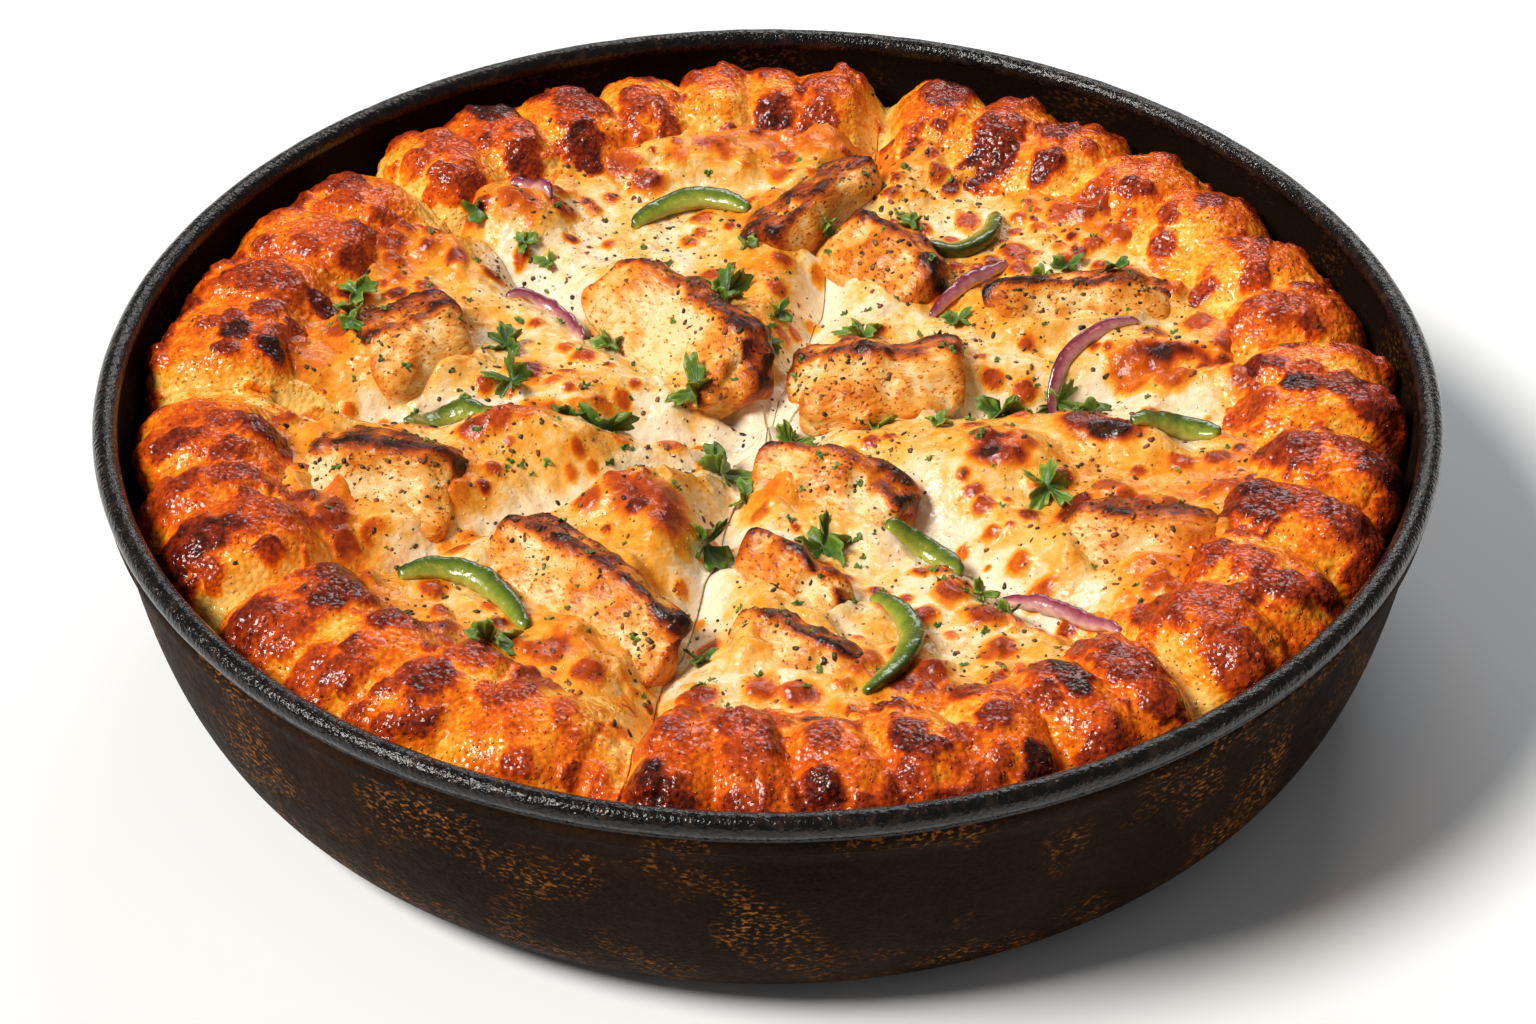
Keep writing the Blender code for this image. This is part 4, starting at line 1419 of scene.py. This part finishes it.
@dataclass(frozen=True)
class Strip:
    """A curved strip of vegetable: its node, route, and section."""

    node: str
    route: tuple[tuple[float, float], ...]
    width: float
    height: float
    slot: Slot
    steps: int = 60
    sides: int = 20
    usual_level: float = 46.0

    def build(self, ground: Ground, material: bpy.types.Material) -> bpy.types.Object:
        """Makes the strip, lying on the ground and sunk a little into it.

        Args:
            ground: what it lies on.
            material: its finish.

        Returns:
            The piece.
        """
        start, middle, end = (np.array(place, float) for place in self.route)
        control = 2 * middle - (start + end) / 2
        share = np.linspace(0.0, 1.0, self.steps)[:, None]
        line = (1 - share) ** 2 * start + 2 * share * (1 - share) * control + share**2 * end
        run = np.gradient(line, axis=0)
        run /= np.hypot(run[:, 0], run[:, 1])[:, None]
        beside = np.stack([-run[:, 1], run[:, 0]], axis=1)
        bend = np.sign(np.cross(middle - start, end - middle))
        found = [ground.find(float(x), float(y)) for x, y in line]
        floor = np.array([spot[0].z if spot else self.usual_level for spot in found])
        window = np.hanning(25) / np.hanning(25).sum()
        floor = np.convolve(np.pad(floor, 12, mode="edge"), window, mode="valid")
        size = 0.30 + 0.70 * np.sin(math.pi * share) ** 0.45
        turns = np.linspace(0.0, math.tau, self.sides, endpoint=False)[None, :]
        side = np.cos(turns) * self.width / 2 * size
        rise = np.sin(turns) * self.height / 2 * size
        pinch = 0.30 * self.width * (np.sin(turns) > 0) * np.sin(turns) ** 2 * size
        x = line[:, 0:1] + beside[:, 0:1] * (side - bend * pinch)
        y = line[:, 1:2] + beside[:, 1:2] * (side - bend * pinch)
        z = floor[:, None] + rise + self.height * 0.28 * size
        points = space(x, y, z)
        points += 0.12 * Noise(2.2, 81, 2).at(points)[..., None]
        flesh = 0.42 + 0.5 * np.cos(turns) * bend - 0.22 * np.maximum(np.sin(turns), 0.0)
        flesh = np.broadcast_to(flesh, x.shape)
        faces = grid_faces(self.steps, self.sides, closed=True).tolist()
        last_ring = range((self.steps - 1) * self.sides, self.steps * self.sides)
        faces += [list(range(self.sides))[::-1], list(last_ring)]
        name = f"cooked_{self.node}"
        piece = mesh_piece(name, points.reshape(-1, 3), faces, material, {"flesh": flesh})
        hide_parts(self.node)
        return piece


@dataclass(frozen=True)
class Leaf:
    """A parsley leaf: lobed, toothed, veined and curled."""

    length: float
    lobes: int = 5
    around: int = 80
    rings: int = 7
    thickness: float = 0.28

    def shape(self, rng: np.random.Generator) -> tuple[np.ndarray, np.ndarray, np.ndarray]:
        """Draws a leaf about its own middle.

        Args:
            rng: draws its curl and teeth.

        Returns:
            Points, faces, and 0 at the veins to 1 at the edge for each point.
        """
        turns = np.linspace(0.0, math.tau, self.around, endpoint=False)
        lobe = np.abs(np.cos(self.lobes * turns / 2.0)) ** 0.8
        teeth = 0.13 * np.cos(turns * self.lobes * 4.0 + rng.uniform(0.0, 6.0))
        uneven = 1.0 + 0.22 * np.cos(turns + rng.uniform(0.0, 6.0))
        uneven = uneven + 0.10 * np.cos(2 * turns + rng.uniform(0.0, 6.0))
        edge = self.length / 2 * (0.24 + 0.72 * lobe + teeth) * uneven
        share = np.linspace(0.0, 1.0, self.rings)[1:, None]
        reach = share * edge[None, :]
        x, y = reach * np.cos(turns), reach * np.sin(turns)
        curl = rng.uniform(0.12, 0.26)
        phase = rng.uniform(0.0, 6.0)
        z = self.length * curl * share**2 * np.sin(turns[None, :] * 3.0 + phase)
        z = z + self.length * 0.05 * share * (lobe[None, :] - 0.5) + 0.10 * self.length * share**2
        ring = space(x, y, z).reshape(-1, 3)
        top = np.concatenate([[[0.0, 0.0, 0.0]], ring])
        points = np.concatenate([top, top - (0.0, 0.0, self.thickness)])
        count = len(top)
        numbers = np.arange(1, count).reshape(self.rings - 1, self.around)
        wrapped = np.concatenate([numbers, numbers[:, :1]], axis=1)
        quads = np.stack([wrapped[:-1, :-1], wrapped[1:, :-1], wrapped[1:, 1:], wrapped[:-1, 1:]], -1)
        quads = quads.reshape(-1, 4)
        triangles = np.concatenate([quads[:, :3], quads[:, [0, 2, 3]]])
        fan = np.stack([np.zeros(self.around, int), wrapped[0, :-1], wrapped[0, 1:]], -1)
        upper = np.concatenate([triangles, fan])
        last = wrapped[-1]
        skirt = np.stack([last[:-1], last[:-1] + count, last[1:] + count, last[1:]], -1)
        skirt = np.concatenate([skirt[:, :3], skirt[:, [0, 2, 3]]])
        faces = np.concatenate([upper, (upper + count)[:, ::-1], skirt])
        rim = np.concatenate([[0.0], np.broadcast_to(share, x.shape).ravel()])
        vein = np.concatenate([[0.0], np.broadcast_to(0.35 - 0.35 * lobe[None, :] ** 4, x.shape).ravel()])
        shade = 0.30 + 0.45 * rim**2 + 0.3 * vein + rng.uniform(-0.15, 0.2)
        return points, faces, np.concatenate([shade, shade])


def laid(points: np.ndarray, spot: Vector, normal: Vector, turn: float, raise_by: float) -> np.ndarray:
    """Moves a small shape onto a surface.

    Args:
        points: the shape about its own middle, with its underside down.
        spot: where it goes.
        normal: the surface's normal there.
        turn: how far it is turned about the normal, in radians.
        raise_by: how far along the normal it stands off.

    Returns:
        The moved points.
    """
    tilt = Vector((0.0, 0.0, 1.0)).rotation_difference(normal).to_matrix() @ Matrix.Rotation(turn, 3, "Z")
    return pressed(points @ np.array(tilt).T + np.array(spot + normal * raise_by))


def pressed(points: np.ndarray) -> np.ndarray:
    """Flattens a small shape that would rise above the model's top, from its lowest point up.

    Args:
        points: the shape, where it lies.

    Returns:
        Its points, none of them above the lid.
    """
    low, high = points[:, 2].min(), points[:, 2].max()
    if high > LID:
        points[:, 2] = low + (points[:, 2] - low) * (LID - low) / (high - low)
    return points


@dataclass
class Parsley:
    """The larger parsley leaves, each standing for its own node, and chopped scraps between them."""

    turns: tuple[float, ...] = (100, 60, 20, 15, -25, -60, 50, 80, 0, 30, -15, 60, -50, -45)
    overhang: float = 1.22
    leaf_seed: int = 900
    scraps: int = 230
    scrap_reach: float = 92.0
    scrap_seed: int = 77
    extra: tuple[tuple[float, float, float], ...] = (
        (-10, 33, 6), (2, 36, 6), (0, 26, 6), (-39, -2, 7), (-25, -13, 6), (-4, -25, 6),
        (21, 0, 7), (62, 1, 9), (38, 30, 7), (61, 51, 7), (-84, 29, 7), (-32, 26, 7), (33, -5, 6),
        (39, -53, 6), (-12, -74, 7), (70, 40, 6), (44, -60, 5), (-60, 66, 6), (12, 62, 5),
        (-83, 36, 8), (-82, 21, 7), (-50, 57, 6), (-45, 54, 5), (30, 66, 6), (56, 46, 5), (-4, 56, 5),
    )

    def leaves(self, ground: Ground, material: bpy.types.Material) -> list[bpy.types.Object]:
        """Makes the leaves that have nodes of their own.

        Args:
            ground: what they lie on.
            material: their finish.

        Returns:
            The pieces.
        """
        pieces = []
        for number, turn in enumerate(self.turns, 1):
            node = f"parsley_{number:02d}"
            low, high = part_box(node)
            rng = np.random.default_rng(self.leaf_seed + number)
            size = 0.5 * ((high[0] - low[0]) + (high[1] - low[1])) / MM
            points, faces, shade = Leaf(size * self.overhang).shape(rng)
            found = ground.find((low[0] + high[0]) / 2 / MM, (low[1] + high[1]) / 2 / MM)
            placed = laid(points, found[0], found[1], math.radians(turn), 0.7)
            name = f"leaf_{number:02d}"
            piece = mesh_piece(name, placed, faces, material, {"edge": shade})
            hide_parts(node)
            pieces.append(piece)
        return pieces

    def chopped(self, ground: Ground, material: bpy.types.Material) -> bpy.types.Object:
        """Makes the smaller leaves and scraps.

        Args:
            ground: what they lie on.
            material: their finish.

        Returns:
            One piece with all of them.
        """
        rng = np.random.default_rng(self.scrap_seed)
        heap = Heap()
        for x, y, size in self.extra:
            found = ground.find(x, y)
            leaf = Leaf(size, lobes=int(rng.integers(3, 6)), around=36, rings=5)
            points, faces, shade = leaf.shape(rng)
            heap.add(laid(points, found[0], found[1], rng.uniform(0.0, 6.0), 0.6), faces, shade)
        made = 0
        while made < self.scraps:
            radius, angle = self.scrap_reach * math.sqrt(rng.uniform()), rng.uniform(0.0, math.tau)
            found = ground.find(radius * math.cos(angle), radius * math.sin(angle))
            if found is None or found[2] is Slot.DOUGH:
                continue
            size = rng.uniform(0.8, 2.4)
            leaf = Leaf(size, lobes=int(rng.integers(2, 4)), around=14, rings=3, thickness=0.15)
            points, faces, shade = leaf.shape(rng)
            heap.add(laid(points, found[0], found[1], rng.uniform(0.0, 6.0), 0.12), faces, shade)
            made += 1
        return heap.piece("chopped_parsley", Slot.PARSLEY, material, "edge")


class Heap:
    """Many small shapes gathered into one mesh."""

    def __init__(self) -> None:
        """Starts with nothing."""
        self.points: list[np.ndarray] = []
        self.faces: list[np.ndarray] = []
        self.values: list[np.ndarray] = []
        self.count = 0

    def add(self, points: np.ndarray, faces: np.ndarray, values: np.ndarray) -> None:
        """Adds one shape.

        Args:
            points: its points.
            faces: the numbers of each face's points.
            values: one number for each point.
        """
        self.points.append(points)
        self.faces.append(np.asarray(faces) + self.count)
        self.values.append(values)
        self.count += len(points)

    def piece(self, name: str, slot: Slot, material: bpy.types.Material, label: str) -> bpy.types.Object:
        """Makes the mesh of all that was added."""
        points, faces = np.concatenate(self.points), np.concatenate(self.faces)
        return mesh_piece(name, points, faces, material, {label: np.concatenate(self.values)})


def ball() -> tuple[np.ndarray, np.ndarray]:
    """A twenty-faced ball of radius 1.

    Returns:
        Its points and faces.
    """
    gold = (1.0 + math.sqrt(5.0)) / 2.0
    points = np.array(
        [(s, t * gold, 0) for s in (-1, 1) for t in (-1, 1)]
        + [(0, s, t * gold) for s in (-1, 1) for t in (-1, 1)]
        + [(t * gold, 0, s) for s in (-1, 1) for t in (-1, 1)],
        float,
    )
    faces = []
    for trio in itertools.combinations(range(12), 3):
        corners = points[list(trio)]
        edges = np.linalg.norm(corners - np.roll(corners, 1, axis=0), axis=1)
        if np.all(np.abs(edges - 2.0) < 1e-6):
            normal = np.cross(corners[1] - corners[0], corners[2] - corners[0])
            faces.append(trio if np.dot(normal, corners.sum(axis=0)) > 0 else trio[::-1])
    return points / math.hypot(1.0, gold), np.array(faces)


@dataclass(frozen=True)
class Specks:
    """Small grains scattered over chosen surfaces as one piece.

    Attributes:
        name: the piece's name.
        count: how many grains.
        smallest, largest: the grains' size.
        seed: which places and shapes to draw.
        slot: the record's slot meant for the piece; not used.
        on: the share of the drawn places that are kept, for each kind of surface.
        flatness: the grains' height over their width.
        reach: how far from the middle they lie.
    """

    name: str
    count: int
    smallest: float
    largest: float
    seed: int
    slot: Slot
    on: dict[Slot, float]
    flatness: float = 0.55
    reach: float = 118.0

    def build(self, ground: Ground, material: bpy.types.Material) -> bpy.types.Object:
        """Scatters the grains.

        Args:
            ground: what they lie on.
            material: their finish.

        Returns:
            The piece.
        """
        rng = np.random.default_rng(self.seed)
        unit, faces = ball()
        heap = Heap()
        made = 0
        crowd = Noise(13.0, self.seed, 2)
        while made < self.count:
            radius, angle = self.reach * math.sqrt(rng.uniform()), rng.uniform(0.0, math.tau)
            found = ground.find(radius * math.cos(angle), radius * math.sin(angle))
            if found is None or rng.uniform() > self.on.get(found[2], 0.0):
                continue
            if rng.uniform() > 0.5 + crowd.at(np.array([found[0]]))[0]:
                continue
            size = self.smallest + (self.largest - self.smallest) * rng.uniform() ** 3.5
            ragged = unit * rng.uniform(0.7, 1.3, (len(unit), 1))
            points = ragged * size / 2 * (rng.uniform(0.8, 2.0), 1.0, self.flatness)
            placed = laid(points, found[0], found[1], rng.uniform(0.0, 6.0), size * 0.05)
            heap.add(placed, faces, np.full(len(unit), rng.uniform()))
            made += 1
        return heap.piece(self.name, self.slot, material, "shade")


@dataclass(frozen=True)
class Pan:
    """The spun steel pan, with a rolled bead, a band under it and a rounded foot.

    Attributes:
        wall: how thick it is.
        base_radius, knee_radius, wall_top_radius: the outer wall's curve, from its foot to wall_top.
        band_radius, band_height: the narrow band under the bead.
        bead_radius, bead_centre: the bead's own radius, and how far out its middle lies.
        segments: how many points go round it.
        outer_rows: how many of the section's last rows are outside, where the rust flecks are.
    """

    wall: float = 2.4
    base_radius: float = 103.0
    knee_radius: float = 122.5
    wall_top_radius: float = 127.4
    wall_top: float = 49.5
    band_radius: float = 129.0
    band_height: float = 3.2
    bead_radius: float = 2.4
    bead_centre: float = 127.6
    segments: int = 288
    outer_rows: int = 40

    def inner_radius(self, height: np.ndarray) -> np.ndarray:
        """The radius of the wall's inner face.

        Args:
            height: heights above the table.

        Returns:
            The radius at each height.
        """
        t = np.sqrt(np.clip(height / self.wall_top, 0.0, 1.0))
        outer = (1 - t) ** 2 * self.base_radius + 2 * t * (1 - t) * self.knee_radius
        return outer + t**2 * self.wall_top_radius - 1.25 * self.wall

    def _wall_curve(self, inset: float, steps: int = 26) -> np.ndarray:
        """The wall from its foot upwards.

        Args:
            inset: how far to move it inwards.
            steps: how many points it has.

        Returns:
            Rows of radius and height.
        """
        t = np.linspace(0.0, 1.0, steps)
        foot, knee, top = self.base_radius, self.knee_radius, self.wall_top_radius
        radius = (1 - t) ** 2 * foot + 2 * t * (1 - t) * knee + t**2 * top
        height = t**2 * self.wall_top
        outwards = 2 * (1 - t) * (knee - foot) + 2 * t * (top - knee)
        run = np.stack([outwards, 2 * t * self.wall_top], axis=1)
        run /= np.hypot(run[:, 0], run[:, 1])[:, None]
        return np.stack([radius - run[:, 1] * inset, height + run[:, 0] * inset], axis=1)

    def _section(self) -> np.ndarray:
        """The section from the middle of the floor over the rim to the middle of the underside.

        Returns:
            Rows of radius and height.
        """
        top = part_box("pan")[1][2] / MM
        middle = top - self.bead_radius
        turns = np.radians(np.linspace(200.0, -62.0, 30))
        round_bead = self.bead_radius * np.stack([np.cos(turns), np.sin(turns)], axis=1)
        bead = round_bead + (self.bead_centre, middle)
        band_top = self.wall_top + self.band_height
        band = np.array([
            (self.band_radius - 0.25, band_top), (self.band_radius, band_top - 0.35),
            (self.band_radius, self.wall_top + 0.5), (self.band_radius - 0.35, self.wall_top),
            (self.wall_top_radius + 0.25, self.wall_top - 0.35),
        ])
        inner = self._wall_curve(self.wall)
        outer = self._wall_curve(0.0)[::-1]
        floor = [(0.0, self.wall), (50.0, self.wall), (96.0, self.wall)]
        under = [(98.0, 0.0), (50.0, 0.0), (0.0, 0.0)]
        return np.concatenate([floor, inner, bead, band, outer[1:], under])

    def build(self, material: bpy.types.Material, bead: bpy.types.Material) -> bpy.types.Object:
        """Makes the pan.

        Args:
            material: the walls' finish.
            bead: the rolled edge's finish.

        Returns:
            The piece.
        """
        section = self._section()
        turns = np.linspace(0.0, math.tau, self.segments, endpoint=False)
        radius, height = section[:, 0:1], section[:, 1:2]
        points = space(radius * np.cos(turns), radius * np.sin(turns), height)
        beading = smooth_step((height - self.wall_top - self.band_height) / 1.5)
        waver = Noise(3.4, 91, 2).at(points) * 0.05 * beading
        points[..., 2] += waver
        outside = np.arange(len(section)) > len(section) - self.outer_rows
        flecked = np.where(outside[:, None], 1.0 - 0.9 * beading, 0.25)
        flecked = np.broadcast_to(flecked, points.shape[:2])
        faces = grid_faces(len(section), self.segments, closed=True)
        values = {"flecked": flecked}
        piece = mesh_piece("spun_pan", points.reshape(-1, 3), faces, material, values)
        piece.data.materials.append(bead)
        on_bead = points.reshape(-1, 3)[faces].mean(axis=1)[:, 2] > self.wall_top + self.band_height
        piece.data.polygons.foreach_set("material_index", on_bead.astype(np.int32))
        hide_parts("pan")
        return piece


@dataclass(frozen=True)
class PhotoView:
    """The photograph's camera."""

    distance: float = 800.0
    elevation: float = 37.8
    look_at: tuple[float, float, float] = (0.0, -4.3, 27.1)
    focal_pixels: float = 4052.0
    photo_width: float = 1536.0
    sensor: float = 36.0

    def build(self) -> bpy.types.Object:
        """Places the camera and makes it the scene's.

        Returns:
            The camera.
        """
        data = bpy.data.cameras.new("photo_camera")
        data.sensor_width = self.sensor
        data.sensor_fit = "HORIZONTAL"
        data.lens = self.focal_pixels / self.photo_width * self.sensor
        data.clip_start = 0.01
        tilt = math.radians(self.elevation)
        away = Vector((0.0, -math.cos(tilt), math.sin(tilt))) * self.distance
        camera = bpy.data.objects.new("photo_camera", data)
        camera.location = (Vector(self.look_at) + away) * MM
        camera.rotation_euler = (math.pi / 2 - tilt, 0.0, 0.0)
        bpy.context.scene.collection.objects.link(camera)
        bpy.context.scene.camera = camera
        return camera


@dataclass(frozen=True)
class SoftLight:
    """A rectangular studio light that faces the pizza."""

    name: str
    place: tuple[float, float, float]
    width: float
    height: float
    power: float
    colour: tuple[float, float, float] = (1.0, 1.0, 1.0)
    spread: float = 180.0

    def build(self) -> bpy.types.Object:
        """Hangs the light.

        Returns:
            The light.
        """
        data = bpy.data.lights.new(self.name, "AREA")
        data.shape = "RECTANGLE"
        data.size, data.size_y = self.width * MM, self.height * MM
        data.energy = self.power
        data.spread = math.radians(self.spread)
        data.color = self.colour
        light = bpy.data.objects.new(self.name, data)
        light.location = Vector(self.place) * MM
        light.rotation_euler = (-light.location).to_track_quat("-Z", "Y").to_euler()
        bpy.context.scene.collection.objects.link(light)
        return light


@dataclass(frozen=True)
class KeyLight:
    """The main light: broad, soft-edged and even over the whole floor."""

    towards: tuple[float, float, float] = (-0.60, -0.22, 0.77)
    strength: float = 3.8
    spread: float = 20.0
    colour: tuple[float, float, float] = (1.0, 0.955, 0.89)

    def build(self) -> bpy.types.Object:
        """Hangs the light.

        Returns:
            The light.
        """
        data = bpy.data.lights.new("key_light", "SUN")
        data.energy = self.strength
        data.angle = math.radians(self.spread)
        data.color = self.colour
        light = bpy.data.objects.new("key_light", data)
        light.rotation_euler = Vector(self.towards).to_track_quat("Z", "Y").to_euler()
        bpy.context.scene.collection.objects.link(light)
        return light


@dataclass(frozen=True)
class Studio:
    """The plain pale room: floor, sky light and soft lights.

    Attributes:
        lights: the studio's lights.
        sky: the strength of the light from all round.
        floor: the floor's colour.
        reach: half the floor's width in metres.
        floor_gap: how far the floor lies below the pan, in metres.
    """

    lights: tuple[KeyLight | SoftLight, ...] = (
        KeyLight(),
        SoftLight("back_light", (120, 680, 560), 560, 200, 2.4),
        SoftLight("warm_top_light", (0, 0, 420), 200, 200, 0.012, (1.0, 0.50, 0.15), 18.0),
    )
    sky: float = 0.145
    floor: tuple[float, float, float, float] = (0.93, 0.955, 0.985, 1.0)
    reach: float = 4.0
    floor_gap: float = 0.0002

    def build(self) -> None:
        """Makes the floor, the sky and the lights."""
        scene = bpy.context.scene
        scene.view_settings.view_transform = "Standard"
        world = bpy.data.worlds.new("pale_sky")
        world.use_nodes = True
        background = world.node_tree.nodes["Background"]
        background.inputs["Color"].default_value = (1.0, 1.0, 1.0, 1.0)
        background.inputs["Strength"].default_value = self.sky
        scene.world = world
        mesh = bpy.data.meshes.new("pale_floor")
        corners = [(self.reach * x, self.reach * y, 0.0) for x, y in ((-1, -1), (1, -1), (1, 1), (-1, 1))]
        mesh.from_pydata(corners, [], [(0, 1, 2, 3)])
        graph = Graph("pale_floor_finish")
        graph.fix(Base_Color=self.floor, Roughness=0.9)
        mesh.materials.append(graph.material)
        floor = bpy.data.objects.new("pale_floor", mesh)
        floor.location = (0.0, 0.0, -self.floor_gap)
        scene.collection.objects.link(floor)
        for light in self.lights:
            light.build()


def strips() -> list[Strip]:
    """The pepper strips and onion slivers, along the same routes as their solids.

    Returns:
        The strips.
    """
    peppers = (
        ((-28, 66), (-16, 74), (-4, 68)),
        ((30, 58), (43, 58), (47, 70)),
        ((-70, -5), (-62, 4), (-54, 0)),
        ((-68, -55), (-55, -54), (-44, -69)),
        ((22, -38), (29, -40), (36, -47)),
        ((19, -58), (26, -72), (17, -88)),
        ((70, -11), (79, -7), (87, -10)),
    )
    onions = (
        ((-53, 40), (-44, 39), (-37, 27)),
        ((33, 34), (41, 44), (49, 51)),
        ((56, 5), (60, 18), (74, 26)),
        ((43, -52), (54, -58), (64, -69)),
        ((-54, 76), (-49, 74), (-45, 68)),
    )
    made = []
    for number, route in enumerate(peppers, 1):
        made.append(Strip(f"pepper_{number}", route, 4.6, 4.2, Slot.PEPPER))
    for number, route in enumerate(onions, 1):
        made.append(Strip(f"onion_{number}", route, 2.8, 3.0, Slot.ONION))
    return made


def report(pieces: Iterable[bpy.types.Object]) -> None:
    """Logs each piece with its number of faces."""
    for piece in pieces:
        LOG.info("%s: %d faces", piece.name, len(piece.data.polygons))


def main() -> None:
    """Builds every piece, the camera and the studio."""
    logging.basicConfig(level=logging.INFO, format="%(name)s %(message)s")
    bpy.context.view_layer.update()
    form = PizzaForm()
    ground = Ground()

    PhotoView().build()
    Studio().build()
    report([Pan().build(SeasonedSteel().build(), GlossyBead().build())])

    dough, cheese = BakedDough().build(), MeltedCheese().build()
    for number in range(len(form.cuts)):
        maker = SliceMaker(form, number)
        made = (maker.dough(dough), maker.cheese(cheese))
        ground.add(made[0], Slot.DOUGH)
        ground.add(made[1], Slot.CHEESE)
        report(made)

    meat = RoastChicken().build()
    for seed, chunk in enumerate(form.chunks):
        piece = ChickenMaker(form, chunk, seed).build(meat)
        ground.add(piece, Slot.CHICKEN)
        report([piece])

    skins = {Slot.PEPPER: PepperSkin().build(), Slot.ONION: OnionSkin().build()}
    for strip in strips():
        report([strip.build(ground, skins[strip.slot])])

    green = ParsleyGreen().build()
    parsley = Parsley()
    report(parsley.leaves(ground, green))
    report([parsley.chopped(ground, green)])
    everywhere = {Slot.CHICKEN: 1.0, Slot.CHEESE: 0.42, Slot.DOUGH: 0.015}
    cracked = Specks("cracked_pepper", 4200, 0.20, 1.15, 5, Slot.CHICKEN, everywhere)
    report([cracked.build(ground, Peppercorn().build())])
    paprika = Peppercorn("red_spice_finish", ((0.0, (0.10, 0.016, 0.006)), (1.0, (0.38, 0.085, 0.02))))
    spice = Specks("red_spice", 900, 0.25, 1.2, 6, Slot.CHICKEN, {Slot.CHICKEN: 0.7, Slot.CHEESE: 0.7})
    report([spice.build(ground, paprika.build())])


def plain(box: Sequence[Sequence[float]]) -> list[list[float]]:
    """A box as plain lists of numbers."""
    return [[float(value) for value in corner] for corner in box]


if __name__ == "__main__":
    main()
